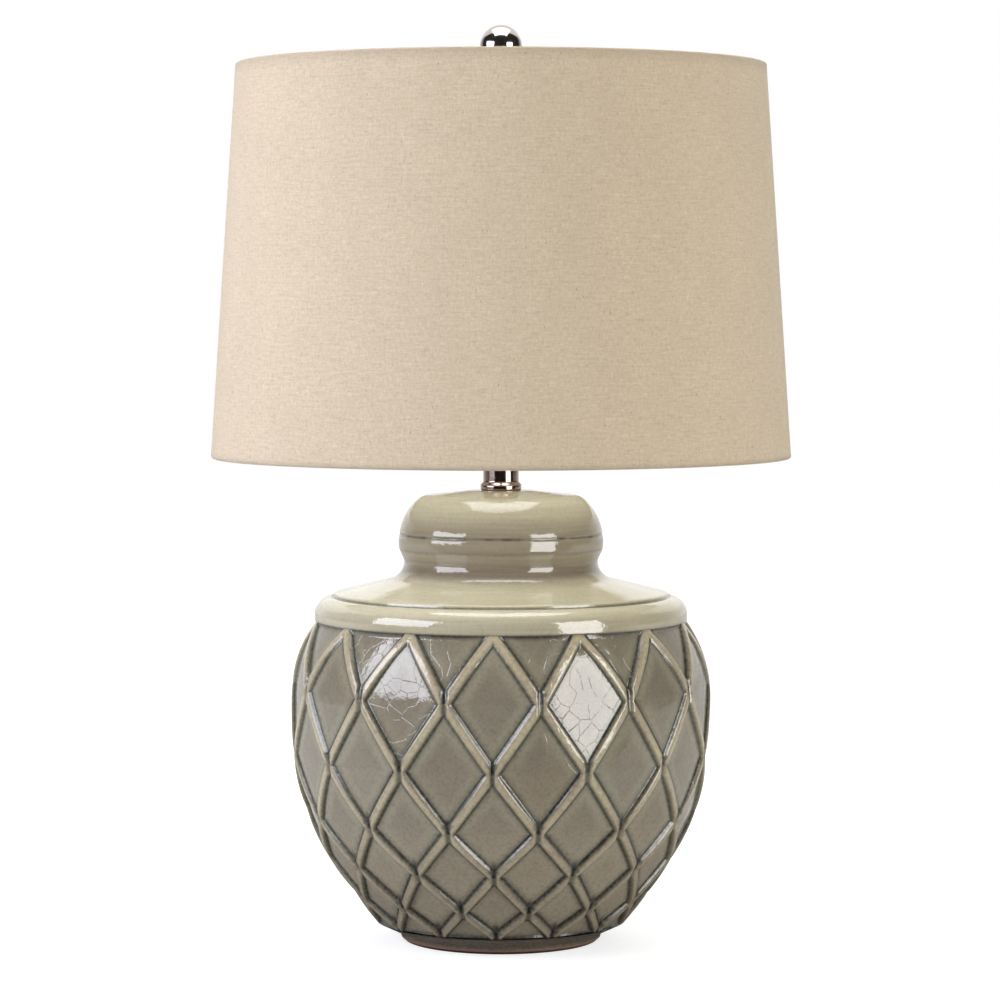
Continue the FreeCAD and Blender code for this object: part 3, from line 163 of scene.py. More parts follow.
# Ends of the belly, first at the ledge and then at the foot: distance in which the relief fades, and width
# of the dark line there. Then the share of relief that is left, and the share of the line that ribs lose.
END_FADES = (2.2, 1.8)
END_LINES = (1.3, 1.6)
END_RELIEF = 0.35
END_LINE_LOSS = 0.55

# Evener glaze low on the belly: its share, and the levels between which it fades.
LOW_SHARE = 0.6
Z_LOW = 40.0
Z_LOW_END = 125.0

# Share of the waist's painted shade on the ledge's side, and how much of it the cap's band loses.
LEDGE_TONE = 0.4
BAND_PALING = 0.2

# Hole for the cord bushing, in metres: its radius, and how far from the bushing its edge may lie.
CORD_HOLE_R = 0.0056
CORD_HOLE_REACH = 0.016

# Shade cover: radii and levels of its edges, and its slant height.
SHADE_BOTTOM_R = 203.2
SHADE_TOP_R = 185.0
SHADE_BOTTOM_Z = 340.1
SHADE_TOP_Z = 614.7
SHADE_SLANT = math.hypot(SHADE_TOP_R - SHADE_BOTTOM_R, SHADE_TOP_Z - SHADE_BOTTOM_Z)

# Hems: half thickness of the fold round the wire, width of the flap inside, rounding of the fold and of the
# flap's edges, and thickness of the cloth. The last two are how far the fold's unevenness reaches, and its
# waves, each with its height, its count round the rim and its turn.
HEM_FOLD = 3.33
HEM_FLAP = 15.3
HEM_ROUND = 1.7
FLAP_ROUND = 0.2
CLOTH = 0.9
HEM_FADE = 5.0
HEM_WAVES = ((0.16, 5, 1.0), (0.12, 11, 0.4), (0.09, 23, 0.0))

# Seam: width, thickness, distance of its ends from the rims, share of its width on each side of its middle
# that is flat, and how far its edges drop, in thicknesses. The last is where its weave starts, in metres.
SEAM_WIDTH = 11.0
SEAM_THICKNESS = 0.7
SEAM_END = 0.4
SEAM_FLAT = 0.42
SEAM_DROP = 1.6
SEAM_WEAVE_START = 2.0

# Neck: tube, bore and height above the jar, the tube's top with its hole, and the beaded collar.
NECK_R = 12.5
NECK_BORE_R = 11.3
NECK_HEIGHT = 34.0
NECK_TOP_THICKNESS = 1.5
NECK_TOP_HOLE_R = 5.2
COLLAR_R = 14.4
COLLAR_FOOT_R = 13.8
COLLAR_FOOT = 0.9
COLLAR_TOP = 3.6
COLLAR_SHOULDER = 5.6

# Finial: ball, waist, flange at its foot, and the bore for its insert.
BALL_R = 14.7
WAIST_R = 5.6
FLANGE_R = 7.0
FLANGE_HEIGHT = 2.4
FLANGE_SLOPE = 3.2
FINIAL_BORE_R = 4.65
FINIAL_BORE_DEPTH = 8.0

# Mesh fineness: points on the belly's outline as it is measured, columns round each piece, distance between
# its rows, and points down the finial's ball.
BELLY_POINTS = 4000
BELLY_COLUMNS = 70 * DIAMONDS
BELLY_STEP = 1.0
TOP_COLUMNS = 20 * DIAMONDS
TOP_STEP = 0.7
SHADE_COLUMNS = 420
HEM_STEP = 0.6
WALL_STEP = 6.0
SEAM_ROWS = 90
SEAM_COLUMNS = 15
NECK_COLUMNS = 128
NECK_STEP = 0.6
FINIAL_COLUMNS = 96
FINIAL_STEP = 0.7
BALL_POINTS = 60

rng = np.random.default_rng(7)

# ---------------- node helpers

WHITE = (1.0, 1.0, 1.0, 1.0)


class Nodes:
    """A node tree that is built one node at a time."""

    def __init__(self, tree):
        self.tree = tree
        self.tree.nodes.clear()

    def link(self, source, target):
        self.tree.links.new(source, target)

    def set(self, node, key, value):
        if isinstance(value, bpy.types.NodeSocket):
            self.link(value, node.inputs[key])
        else:
            node.inputs[key].default_value = value

    def node(self, kind, inputs=None, **settings):
        made = self.tree.nodes.new("ShaderNode" + kind)
        for key, value in settings.items():
            setattr(made, key, value)
        for key, value in (inputs or {}).items():
            self.set(made, key, value)
        return made

    def math(self, operation, *values):
        return self.node("Math", dict(enumerate(values)), operation=operation).outputs[0]

    def remap(self, value, low, high, to_low=0.0, to_high=1.0):
        inputs = {"Value": value, "From Min": low, "From Max": high, "To Min": to_low, "To Max": to_high}
        return self.node("MapRange", inputs, clamp=True).outputs["Result"]

    def light(self, kind, strength):
        """White light from an emission or a background."""
        return self.node(kind, {"Color": WHITE, "Strength": strength}).outputs[0]

    def blend(self, share, first, second):
        """From the first shader at share 0 to the second at 1."""
        return self.node("MixShader", {0: share, 1: first, 2: second}).outputs[0]


class Shader(Nodes):
    """A material's node tree."""

    def __init__(self, name):
        self.material = bpy.data.materials.new(name)
        self.material.use_nodes = True
        super().__init__(self.material.node_tree)
        self.output = self.node("OutputMaterial")

    def place(self):
        """Position on the object, in metres."""
        return self.node("TexCoord").outputs["Object"]

    def attribute(self, name):
        return self.node("Attribute", attribute_name=name).outputs["Fac"]

    def stretched(self, scale, source=None):
        """Coordinates scaled by three factors."""
        mapping = self.node("Mapping", {"Vector": source or self.place()})
        mapping.inputs["Scale"].default_value = scale
        return mapping.outputs["Vector"]

    def noise(self, scale, where=None, detail=3.0, rough=0.5):
        inputs = {"Vector": where or self.place(), "Scale": scale, "Detail": detail, "Roughness": rough}
        return self.node("TexNoise", inputs).outputs["Fac"]

    def mix(self, share, a, b):
        made = self.node("Mix", data_type="RGBA")
        for key, value in ((0, share), (6, a), (7, b)):
            self.set(made, key, value)
        return made.outputs[2]

    def bump(self, height, strength, distance, after=None):
        inputs = {"Height": height, "Strength": strength, "Distance": distance}
        if after is not None:
            inputs["Normal"] = after
        return self.node("Bump", inputs).outputs["Normal"]

    def grey(self, level):
        """A matt grey."""
        return self.node("BsdfDiffuse", {"Color": (level, level, level, 1.0)}).outputs[0]

    def surface(self, **inputs):
        """The main shader. Keys are its socket names, with underscores for spaces."""
        made = self.node("BsdfPrincipled", {key.replace("_", " "): value for key, value in inputs.items()})
        return self.finished(made.outputs[0])

    def finished(self, shader):
        self.link(shader, self.output.inputs[0])
        return self.material


def rgb(red, green, blue):
    """A colour given as it looks on screen, 0 to 255, in the linear values that sockets hold."""
    linear = []
    for value in (red, green, blue):
        share = value / 255
        linear.append(share / 12.92 if share <= 0.04045 else ((share + 0.055) / 1.055) ** 2.4)
    return (*linear, 1.0)


def scaled(colour, factor, offset=0.0):
    """A lighter or darker colour."""
    return tuple(min(1.0, factor * part + offset) for part in colour[:3]) + (1.0,)


# ---------------- mesh helpers


def sampled_outline(corners, step, run_step=None):
    """Points along straight runs and tangent arcs. corners hold (radius, z, rounding), all in millimetres.

    step is the distance between points on arcs, and run_step that on straight runs, the same unless given.
    """
    points = [np.array(corners[0][:2], float)]
    for k in range(1, len(corners) - 1):
        corner = np.array(corners[k][:2], float)
        rounding = corners[k][2]
        back = np.array(corners[k - 1][:2], float) - corner
        ahead = np.array(corners[k + 1][:2], float) - corner
        back /= np.linalg.norm(back)
        ahead /= np.linalg.norm(ahead)
        half = math.acos(float(np.clip(back @ ahead, -1, 1))) / 2
        if rounding <= 0 or half > math.radians(89.5):
            points.append(corner)
            continue
        cut = rounding / math.tan(half)
        centre = corner + (back + ahead) / np.linalg.norm(back + ahead) * rounding / math.sin(half)
        start = corner + back * cut - centre
        turn = math.pi - 2 * half
        side = math.copysign(1.0, back[0] * ahead[1] - back[1] * ahead[0])
        count = max(3, int(rounding * turn / step) + 2)
        for share in np.linspace(0, 1, count):
            angle = -side * turn * share
            c, s = math.cos(angle), math.sin(angle)
            points.append(centre + np.array([c * start[0] - s * start[1], s * start[0] + c * start[1]]))
    points.append(np.array(corners[-1][:2], float))
    return refined(points, run_step or step)


def refined(points, step):
    """The same polyline with its long runs divided."""
    fine = [points[0]]
    for a, b in zip(points, points[1:]):
        count = max(1, int(np.linalg.norm(b - a) / step))
        fine.extend(a + (b - a) * share for share in np.linspace(0, 1, count + 1)[1:])
    return np.array(fine)


def grid_faces(rows, columns, rows_close=False, columns_close=True):
    """Four-sided faces between the points of a grid, which are counted row by row."""
    row = np.arange(rows if rows_close else rows - 1)[:, None]
    column = np.arange(columns if columns_close else columns - 1)[None, :]
    above = (row + 1) % rows
    after = (column + 1) % columns
    corners = ((row, column), (above, column), (above, after), (row, after))
    return np.stack([r * columns + c for r, c in corners], axis=-1).reshape(-1, 4)


def grid_mesh(name, radii, levels, columns, closed=False):
    """A mesh of revolution. radii and levels hold a value for each row, or for each row and column."""
    rows = len(levels)
    angle = np.linspace(0, 2 * math.pi, columns, endpoint=False)
    radii = np.broadcast_to(np.asarray(radii, float).reshape(rows, -1), (rows, columns))
    levels = np.broadcast_to(np.asarray(levels, float).reshape(rows, -1), (rows, columns))
    x = radii * np.sin(angle)
    y = -radii * np.cos(angle)
    places = np.stack([x, y, levels], axis=-1).reshape(-1, 3) * MM
    return mesh_object(name, places, grid_faces(rows, columns, closed))


def mesh_object(name, places, faces):
    mesh = bpy.data.meshes.new(name)
    mesh.from_pydata(places.tolist(), [], faces.tolist())
    mesh.shade_smooth()
    piece = bpy.data.objects.new(name, mesh)
    bpy.context.scene.collection.objects.link(piece)
    return piece


def joined(name, pieces):
    """One object from several."""
    bpy.ops.object.select_all(action="DESELECT")
    for piece in pieces:
        piece.select_set(True)
    bpy.context.view_layer.objects.active = pieces[0]
    bpy.ops.object.join()
    pieces[0].name = name
    return pieces[0]


def dress(piece, material):
    piece.data.materials.clear()
    piece.data.materials.append(material)


def lathe(name, corners, material, columns, step, closed=True):
    """A turned piece from an outline of (radius, z, rounding) corners, which a closed one begins again."""
    if closed:
        start = (np.array(corners[0][:2], float) + np.array(corners[-1][:2], float)) / 2
        corners = [(*start, 0)] + list(corners) + [(*start, 0)]
    outline = sampled_outline(corners, step)
    if closed:
        outline = outline[:-1]
    piece = grid_mesh(name, outline[:, 0], outline[:, 1], columns, closed)
    dress(piece, material)
    return piece


def smooth(value, low, high):
    """0 below low, 1 above high, with a soft rise between them."""
    share = np.clip((value - low) / (high - low), 0, 1)
    return share * share * (3 - 2 * share)


def bell(value, middle, width):
    """1 at the middle, falling to nothing on both sides."""
    return np.exp(-(((value - middle) / width) ** 2))


def soft_floor(value, least, softness):
    """The larger of value and least, with a rounded corner."""
    return least + 0.5 * (value - least + np.sqrt((value - least) ** 2 + softness**2))


# ---------------- materials


def lattice_tone(s):
    """Panels and ribs, which differ less low on the belly."""
    cloud = s.noise(26.0, detail=4.0)
    panel = s.mix(s.attribute("middle"), rgb(154, 149, 127), rgb(130, 122, 105))
    panel = s.mix(s.remap(cloud, 0.4, 0.7, 0.0, 0.5), panel, rgb(146, 132, 111))
    crest = s.mix(s.remap(cloud, 0.3, 0.7), rgb(196, 185, 152), rgb(184, 169, 141))
    tone = s.mix(s.attribute("rib"), panel, crest)
    return s.mix(s.attribute("low"), tone, rgb(174, 162, 139))


def top_tone(s):
    """Ledge, shoulder and cap, streaked all round, with painted light on the tops and painted shade at the
    waist.
    """
    streak = s.remap(s.noise(16.0, s.stretched((1.0, 1.0, 26.0)), detail=5.0, rough=0.6), 0.34, 0.66)
    lit_top_tone = s.mix(streak, rgb(196, 188, 157), rgb(206, 199, 170))
    waist_shade = s.mix(streak, rgb(136, 124, 105), rgb(148, 137, 116))
    return s.mix(s.attribute("middle"), lit_top_tone, waist_shade)


def crackle(s, upper, after):
    """Fine cracks in the glaze of the belly, over its slight waves."""
    cells = s.node("TexVoronoi", {"Vector": s.place(), "Scale": 90.0}, feature="DISTANCE_TO_EDGE")
    skin = s.remap(cells.outputs["Distance"], 0.0, 0.03)
    return s.bump(s.math("MULTIPLY", skin, s.math("SUBTRACT", 1.0, upper)), 0.21, 0.0003, after)


def glaze():
    """Celadon glaze over relief: pale where thin on ribs, dark in pools and painted shadow beside them."""
    s = Shader("celadon_glaze")
    pool, upper, foot = s.attribute("pool"), s.attribute("upper"), s.attribute("foot")
    speck = s.noise(420.0, detail=3.0, rough=0.6)
    tone = s.mix(upper, lattice_tone(s), top_tone(s))
    dust = s.math("MULTIPLY", s.remap(speck, 0.45, 0.75, 0.0, 0.38), s.remap(upper, 0.0, 1.0, 1.0, 0.4))
    tone = s.mix(dust, tone, rgb(98, 90, 76))
    # Pooled glaze, with painted shadow beside the ribs, darkens the tone here.
    pooled_and_shaded = s.math("MULTIPLY", pool, s.remap(speck, 0.3, 0.6, 0.82, 1.0))
    tone = s.mix(pooled_and_shaded, tone, rgb(26, 29, 29))
    bare_clay = rgb(168, 112, 92)
    tone = s.mix(foot, tone, bare_clay)
    waves = s.bump(s.noise(190.0, detail=2.0), 0.26, 0.0006)
    rough = s.math("ADD", s.remap(foot, 0.0, 1.0, 0.06, 0.75), s.math("MULTIPLY", pool, 0.2))
    return s.surface(Base_Color=tone, Roughness=rough, Normal=crackle(s, upper, waves), IOR=1.6)


def linen():
    """Plain-woven cloth with slubs, on coordinates that run round and up the piece."""
    s = Shader("linen")
    woven = s.node("UVMap", uv_map="weave").outputs["UV"]
    warp = s.noise(1.0, s.stretched((1500.0, 300.0, 1.0), woven), detail=2.0)
    weft = s.noise(1.0, s.stretched((300.0, 1500.0, 1.0), woven), detail=2.0)
    slub_up = s.noise(1.0, s.stretched((520.0, 110.0, 1.0), woven), detail=3.0, rough=0.65)
    slub_round = s.noise(1.0, s.stretched((80.0, 560.0, 1.0), woven), detail=3.0, rough=0.65)
    cloud = s.noise(1.0, s.stretched((30.0, 22.0, 1.0), woven), detail=3.0)
    fleck = s.noise(1.0, s.stretched((700.0, 260.0, 1.0), woven), detail=1.0, rough=0.5)
    threads = s.math("ADD", s.math("MULTIPLY", warp, 0.5), s.math("MULTIPLY", weft, 0.5))
    slubs = s.math("ADD", s.math("MULTIPLY", slub_up, 0.4), s.math("MULTIPLY", slub_round, 0.6))
    tone = s.mix(s.remap(threads, 0.36, 0.64), rgb(214, 196, 167), rgb(194, 176, 147))
    tone = s.mix(s.remap(slubs, 0.52, 0.66, 0.0, 0.4), tone, rgb(224, 212, 194))
    tone = s.mix(s.remap(slubs, 0.34, 0.48, 0.34, 0.0), tone, rgb(158, 140, 116))
    tone = s.mix(s.remap(cloud, 0.35, 0.65, 0.0, 0.12), tone, rgb(176, 160, 138))
    tone = s.mix(s.remap(fleck, 0.71, 0.79, 0.0, 0.6), tone, rgb(132, 108, 82))
    # Painted shade along both hems: they are two layers thick, so less light comes through them.
    height = s.node("SeparateXYZ", {"Vector": woven}).outputs["Y"]
    top = SHADE_SLANT * MM
    hem_shade = rgb(140, 124, 108)
    tone = s.mix(s.remap(height, top - 0.009, top - 0.001, 0.0, 0.34), tone, hem_shade)
    tone = s.mix(s.remap(height, 0.001, 0.004, 0.34, 0.0), tone, hem_shade)
    normal = s.bump(threads, 0.5, 0.0005)
    normal = s.bump(slubs, 0.3, 0.0006, normal)
    return s.surface(Base_Color=tone, Roughness=0.95, Normal=normal, Sheen_Weight=0.1, Sheen_Roughness=0.5)


def metal(name, colour, rough, streaks, grain=900.0):
    """Polished or brushed metal with faint turning marks."""
    s = Shader(name)
    marks = s.noise(1.0, s.stretched((60.0, 60.0, grain)), detail=3.0, rough=0.6)
    smudge = s.noise(45.0, detail=3.0)
    uneven = s.math("ADD", s.remap(marks, 0.3, 0.7, 0.0, streaks), s.remap(smudge, 0.35, 0.75, 0.0, 0.04))
    roughness = s.math("ADD", uneven, rough)
    tone = s.mix(s.remap(smudge, 0.3, 0.75), colour, scaled(colour, 0.82))
    normal = s.bump(marks, 0.04 + streaks, 0.0001)
    return s.surface(Base_Color=tone, Metallic=1.0, Roughness=roughness, Normal=normal)


def plastic(name, colour, rough):
    """Moulded plastic with a fine grain."""
    s = Shader(name)
    speck = s.noise(700.0, detail=2.0)
    cloud = s.noise(35.0, detail=2.0)
    tone = s.mix(s.remap(cloud, 0.3, 0.7), colour, scaled(colour, 1.12, 0.004))
    roughness = s.remap(speck, 0.3, 0.7, rough, rough + 0.1)
    return s.surface(Base_Color=tone, Roughness=roughness, Normal=s.bump(speck, 0.25, 0.0002))


def enamel():
    """Painted wire and plate, with a slight orange peel."""
    s = Shader("white_enamel")
    paint_tone = rgb(232, 229, 222)
    cloud = s.noise(30.0, detail=3.0)
    peel = s.noise(320.0, detail=2.0)
    tone = s.mix(s.remap(cloud, 0.35, 0.7), paint_tone, scaled(paint_tone, 0.9))
    return s.surface(Base_Color=tone, Roughness=0.35, Normal=s.bump(peel, 0.15, 0.0002))


def felt():
    s = Shader("felt")
    hairs = s.noise(900.0, detail=5.0, rough=0.8)
    blotch = s.noise(60.0, detail=3.0)
    tone = s.mix(s.remap(hairs, 0.3, 0.7), rgb(30, 31, 30), rgb(62, 62, 58))
    tone = s.mix(s.remap(blotch, 0.4, 0.7, 0.0, 0.4), tone, rgb(46, 45, 42))
    return s.surface(Base_Color=tone, Roughness=1.0, Normal=s.bump(hairs, 0.8, 0.0005), Sheen_Weight=0.5)


def fibre():
    s = Shader("pressed_fibre")
    strands = s.noise(1.0, s.stretched((500.0, 500.0, 90.0)), detail=4.0)
    tone = s.mix(s.remap(strands, 0.3, 0.7), rgb(142, 112, 76), rgb(176, 146, 104))
    return s.surface(Base_Color=tone, Roughness=0.85, Normal=s.bump(strands, 0.4, 0.0003))


def frosted_glass():
    """Inside-frosted bulb glass, seen unlit: milky, with a glossy skin."""
    s = Shader("frosted_bulb")
    powder = s.noise(260.0, detail=3.0)
    tone = s.mix(s.remap(powder, 0.3, 0.7), rgb(238, 238, 234), rgb(226, 227, 224))
    return s.surface(
        Base_Color=tone,
        Roughness=0.12,
        Subsurface_Weight=0.3,
        Subsurface_Radius=(0.01, 0.01, 0.01),
        Coat_Weight=0.6,
    )


def styrene():
    s = Shader("styrene_liner")
    cloud = s.noise(14.0, detail=2.0)
    speck = s.noise(420.0, detail=2.0)
    tone = s.mix(s.remap(cloud, 0.3, 0.7), rgb(238, 234, 226), rgb(229, 224, 214))
    return s.surface(Base_Color=tone, Roughness=0.42, Normal=s.bump(speck, 0.12, 0.0002))


NICKEL = metal("polished_nickel", rgb(196, 188, 178), 0.10, 0.04)
DARK_NICKEL = metal("dark_nickel", rgb(176, 154, 144), 0.09, 0.03)
STEEL = metal("zinc_steel", rgb(170, 170, 168), 0.34, 0.12, 500.0)
BRASS = metal("brass", rgb(206, 172, 104), 0.22, 0.06)
ALUMINIUM = metal("aluminium", rgb(206, 206, 204), 0.28, 0.10, 700.0)
WHITE_ENAMEL = enamel()
BLACK_PLASTIC = plastic("black_phenolic", rgb(24, 23, 22), 0.22)
DARK_MOULDING = plastic("dark_moulding", rgb(46, 40, 36), 0.45)
CREAM_PLASTIC = plastic("cream_nylon", rgb(222, 214, 196), 0.4)
BULB_BLACK = plastic("black_vitrite", rgb(20, 18, 26), 0.15)
FELT_CLOTH = felt()
FIBRE = fibre()
FROSTED = frosted_glass()
STYRENE = styrene()
LINEN = linen()
GLAZE = glaze()

# ---------------- jar

# Shares that the glaze is mixed by, up to 1: on ribs, in pooled glaze and its painted shadow, in the middle
# of panels and in the painted shade at the waist, above the lattice, low on the belly and on the foot, and
# on the foot's bare clay.
SHARES = ("rib", "pool", "middle", "upper", "low", "foot")


def paint(piece, **shares):
    """Gives the piece's points their shares, each as one number or a grid. One that is left out is 0."""
    count = len(piece.data.vertices)
    for name in SHARES:
        values = np.asarray(shares.get(name, 0.0), np.float32).ravel()
        layer = piece.data.attributes.new(name, "FLOAT", "POINT")
        layer.data.foreach_set("value", np.ascontiguousarray(np.broadcast_to(values, count)))


def all_round(values, columns):
    """A grid of the rows' values, the same in each column."""
    return np.outer(values, np.ones(columns))


def arc_size(x0, z0, inward, x1, z1):
    """Radius of the arc that leaves (x0, z0) square to the direction inward and passes through (x1, z1)."""
    dx, dz = x1 - x0, z1 - z0
    return (dx * dx + dz * dz) / (2 * (dx * inward[0] + dz * inward[1]))


class Belly:
    """Outline at the tops of the ribs: from the foot up two arcs, an upright stretch and an arc."""

    def __init__(self):
        upper = arc_size(R_BELLY, Z_BELLY_TOP, (-1, 0), R_LEDGE, Z_LEDGE)
        middle = arc_size(R_BELLY, Z_BELLY, (-1, 0), R_FLANK, Z_FLANK)
        centre = np.array([R_BELLY - middle, Z_BELLY])
        flank = np.array([R_FLANK, Z_FLANK])
        inward = (centre - flank) / np.linalg.norm(centre - flank)
        lower = arc_size(R_FLANK, Z_FLANK, inward, R_LATTICE_FOOT, Z_LATTICE_FOOT)
        low_centre = flank + inward * lower
        self.arcs = (
            (R_BELLY - upper, Z_BELLY_TOP, upper),
            (centre[0], centre[1], middle),
            (low_centre[0], low_centre[1], lower),
        )

    def pick(self, z):
        """The levels, the centre and size of the arc at each, and which are on the upright stretch."""
        z = np.asarray(z, float)
        which = np.where(z >= Z_BELLY_TOP, 0, np.where(z >= Z_FLANK, 1, 2))
        table = np.array(self.arcs)[which]
        return z, table[..., 0], table[..., 1], table[..., 2], (z > Z_BELLY) & (z < Z_BELLY_TOP)

    def radius(self, z):
        z, x, level, size, upright = self.pick(z)
        return np.where(upright, R_BELLY, x + np.sqrt(size**2 - (z - level) ** 2))

    def slope(self, z):
        """Angle of the outward normal above the horizontal."""
        z, _, level, size, upright = self.pick(z)
        return np.where(upright, 0.0, np.arcsin((z - level) / size))


def slit_share(aside, along):
    """1 inside a slit, 0 outside it, from the distances across and along it to its middle."""
    narrow = 1 - smooth(aside / SLIT_HALF, *SLIT_SIDE)
    return narrow * (1 - smooth(along, SLIT_REACH - SLIT_TAPER, SLIT_REACH))


def edge_pool(gap, line, shadow):
    """Pooled glaze and painted shadow near a rib: line and shadow each hold a share, distance and width."""
    dark, at, width = line
    faint, faint_at, faint_width = shadow
    return np.maximum(dark * bell(gap, at, width), faint * bell(gap, faint_at, faint_width))


class Lattice:
    """Where each point of the belly lies in the lattice. A row of points has one level, a column one angle.

    The values along are distances down the belly's outline from the ledge.
    """

    def __init__(self, belly, angle, z, along, row_z, row_along):
        self.belly, self.z, self.along, self.row_along = belly, z, along, row_along
        self.last = len(row_z) - 1
        # Half a diamond's angle. A band lies between two rows of crossings.
        self.half = math.pi / DIAMONDS
        band = np.clip(np.searchsorted(-row_z, -z, side="right") - 1, 0, self.last - 1)
        self.band = band[:, None]
        self.odd = self.band % 2
        top_s, low_s = row_along[band], row_along[band + 1]
        self.below_top = (along - top_s)[:, None]
        self.above_low = (low_s - along)[:, None]
        self.radius = belly.radius(z)[:, None]
        # Angle from the nearest column that has a crossing at the band's top, 0 to half.
        self.turned = (angle[None, :] - LATTICE_TURN) / (2 * self.half) + 0.5 * self.odd
        self.column = np.round(self.turned)
        self.off = np.abs(self.turned - self.column) * 2 * self.half
        # The rib's middle line is the straight chord between its two crossings.
        share = ((along - top_s) / (low_s - top_s))[:, None]
        top_r = belly.radius(row_z[band])[:, None]
        low_r = belly.radius(row_z[band + 1])[:, None]
        chord_ahead = top_r + (low_r * math.cos(self.half) - top_r) * share
        chord = np.arctan2(low_r * math.sin(self.half) * share, chord_ahead)
        self.width = self.half * self.radius
        self.across = self.off * self.radius
        aside = self.across - chord * self.radius
        lean = np.arctan2(self.width, (low_s - top_s)[:, None])
        height_share = ((z - Z_LATTICE_FOOT) / (Z_LEDGE - Z_LATTICE_FOOT))[:, None]
        self.rib_half = RIB_HALF_FOOT + (RIB_HALF_TOP - RIB_HALF_FOOT) * height_share
        self.distance = np.abs(aside) * np.cos(lean)
        self.gap = self.distance - self.rib_half
        self.below = aside < 0

    def ribs(self):
        """1 on a rib's crest, 0 beyond its flanks."""
        return 1 - smooth(self.distance, self.rib_half * RIB_CREST, self.rib_half + RIB_FLANK)

    def panel_depth(self):
        """Depth below the ribs' tops. Each panel is flatter than the belly, so it sinks in its middle."""
        row_along = self.row_along
        centre_row = np.where(self.below, self.band + 1, self.band)
        centre_s = row_along[centre_row]
        first_centre = row_along[0] + END_PANEL_CENTRE * (row_along[1] - row_along[0])
        last_centre = row_along[-1] - END_PANEL_CENTRE * (row_along[-1] - row_along[-2])
        centre_s = np.where(centre_row == 0, first_centre, centre_s)
        centre_s = np.where(centre_row == self.last, last_centre, centre_s)
        from_column = np.where(self.below, self.off, self.half - self.off)
        centre_z = np.interp(centre_s, self.along[::-1], self.z[::-1])
        centre_r = self.belly.radius(centre_z)
        slope = self.belly.slope(centre_z)
        side_drop = self.radius * (1 - np.cos(from_column)) * np.cos(slope)
        up_drop = -((self.radius - centre_r) * np.cos(slope) + (self.z[:, None] - centre_z) * np.sin(slope))
        depth = PANEL_DEPTH - PANEL_FLATNESS * (side_drop + np.maximum(up_drop, 0))
        depth = soft_floor(depth, PANEL_LEAST_DEPTH, PANEL_SOFTNESS)
        return depth + self.tilt(centre_row, centre_s, from_column)

    def tilt(self, centre_row, centre_s, from_column):
        """A slight tilt of its own for each panel."""
        side = np.sign(self.turned - self.column + 1e-9)
        panel_column = self.column * 2 - self.odd + np.where(self.below, 0, side)
        panel = (np.mod(panel_column, 2 * DIAMONDS) + 2 * DIAMONDS * centre_row).astype(int)
        tilts = rng.normal(0.0, PANEL_TILT, (2 * DIAMONDS * (self.last + 1), 2))
        direction = np.where(self.below, 1, -1) * np.sign(self.turned - self.column)
        sideways = direction * from_column * self.radius
        return tilts[panel, 0] * sideways + tilts[panel, 1] * (self.along[:, None] - centre_s)

    def slits(self):
        """Shares of the slits below and above a crossing, where they part the ribs. The ledge has none."""
        below_crossing = slit_share(self.across, self.below_top) * (self.band > 0)
        above_crossing = slit_share(self.width - self.across, self.above_low)
        return below_crossing, above_crossing

    def pools(self):
        """Pooled glaze, most on a panel's lower edges, in its lowest corner and slits, and painted shadow by
        ribs.
        """
        upper_edge = edge_pool(self.gap, UPPER_LINE, UPPER_SHADOW)
        lower_edge = edge_pool(self.gap, LOWER_LINE, LOWER_SHADOW)
        edge = np.where(self.below, upper_edge, lower_edge)
        corner = bell(self.above_low, CORNER_RISE, CORNER_TALL) * ~self.below
        corner = corner * bell(self.width - self.across, 0.0, CORNER_WIDE)
        below_crossing, above_crossing = self.slits()
        slit = np.maximum(SLIT_LOW_POOL * below_crossing, above_crossing)
        return np.clip(np.maximum.reduce([edge, corner, slit]), 0, 1)

    def middles(self):
        """1 in the middle of a panel, where its glaze is darker, a little less in its lower half."""
        return smooth(self.gap, *MIDDLE_GROWTH) * np.where(self.below, 1.0, LOWER_MIDDLE)

    def relief(self):
        """Depth below the tops of the ribs, and the share of rib."""
        slit = np.maximum(*self.slits())
        rib = self.ribs() * (1 - slit)
        return self.panel_depth() * (1 - rib) * (1 - slit) + SLIT_DEPTH * slit, rib


def belly_mesh(belly):
    """The belly with its lattice in relief."""
    fine_z = np.linspace(Z_LATTICE_FOOT, Z_LEDGE, BELLY_POINTS)
    fine_r = belly.radius(fine_z)
    fine_s = np.concatenate([[0], np.cumsum(np.hypot(np.diff(fine_r), np.diff(fine_z)))])
    up = np.linspace(0, fine_s[-1], int(fine_s[-1] / BELLY_STEP))
    along = fine_s[-1] - up
    z = np.interp(up, fine_s, fine_z)
    row_z = Z_LEDGE - np.array(ROW_SHARES) * (Z_LEDGE - Z_LATTICE_FOOT)
    row_along = fine_s[-1] - np.interp(row_z, fine_z, fine_s)
    angle = np.linspace(0, 2 * math.pi, BELLY_COLUMNS, endpoint=False)
    lattice = Lattice(belly, angle, z, along, row_z, row_along)
    depth, rib = lattice.relief()
    # The relief fades at the ledge and the foot, where a dark line runs round.
    edge = smooth(along, 0.0, END_FADES[0]) * smooth(up, 0.0, END_FADES[1])
    depth = depth * (END_RELIEF + (1 - END_RELIEF) * edge[:, None])
    rim = np.maximum(bell(along, 0.0, END_LINES[0]), bell(up, 0.0, END_LINES[1]))[:, None]
    pool = np.maximum(lattice.pools(), rim * (1 - END_LINE_LOSS * rib))
    slope = belly.slope(z)[:, None]
    radii = belly.radius(z)[:, None] - depth * np.cos(slope)
    levels = z[:, None] - depth * np.sin(slope)
    piece = grid_mesh("jar_belly", radii, levels, BELLY_COLUMNS)
    low = all_round(LOW_SHARE * (1 - smooth(z, Z_LOW, Z_LOW_END)), BELLY_COLUMNS)
    paint(piece, rib=rib, pool=pool, middle=lattice.middles(), low=low)
    return piece


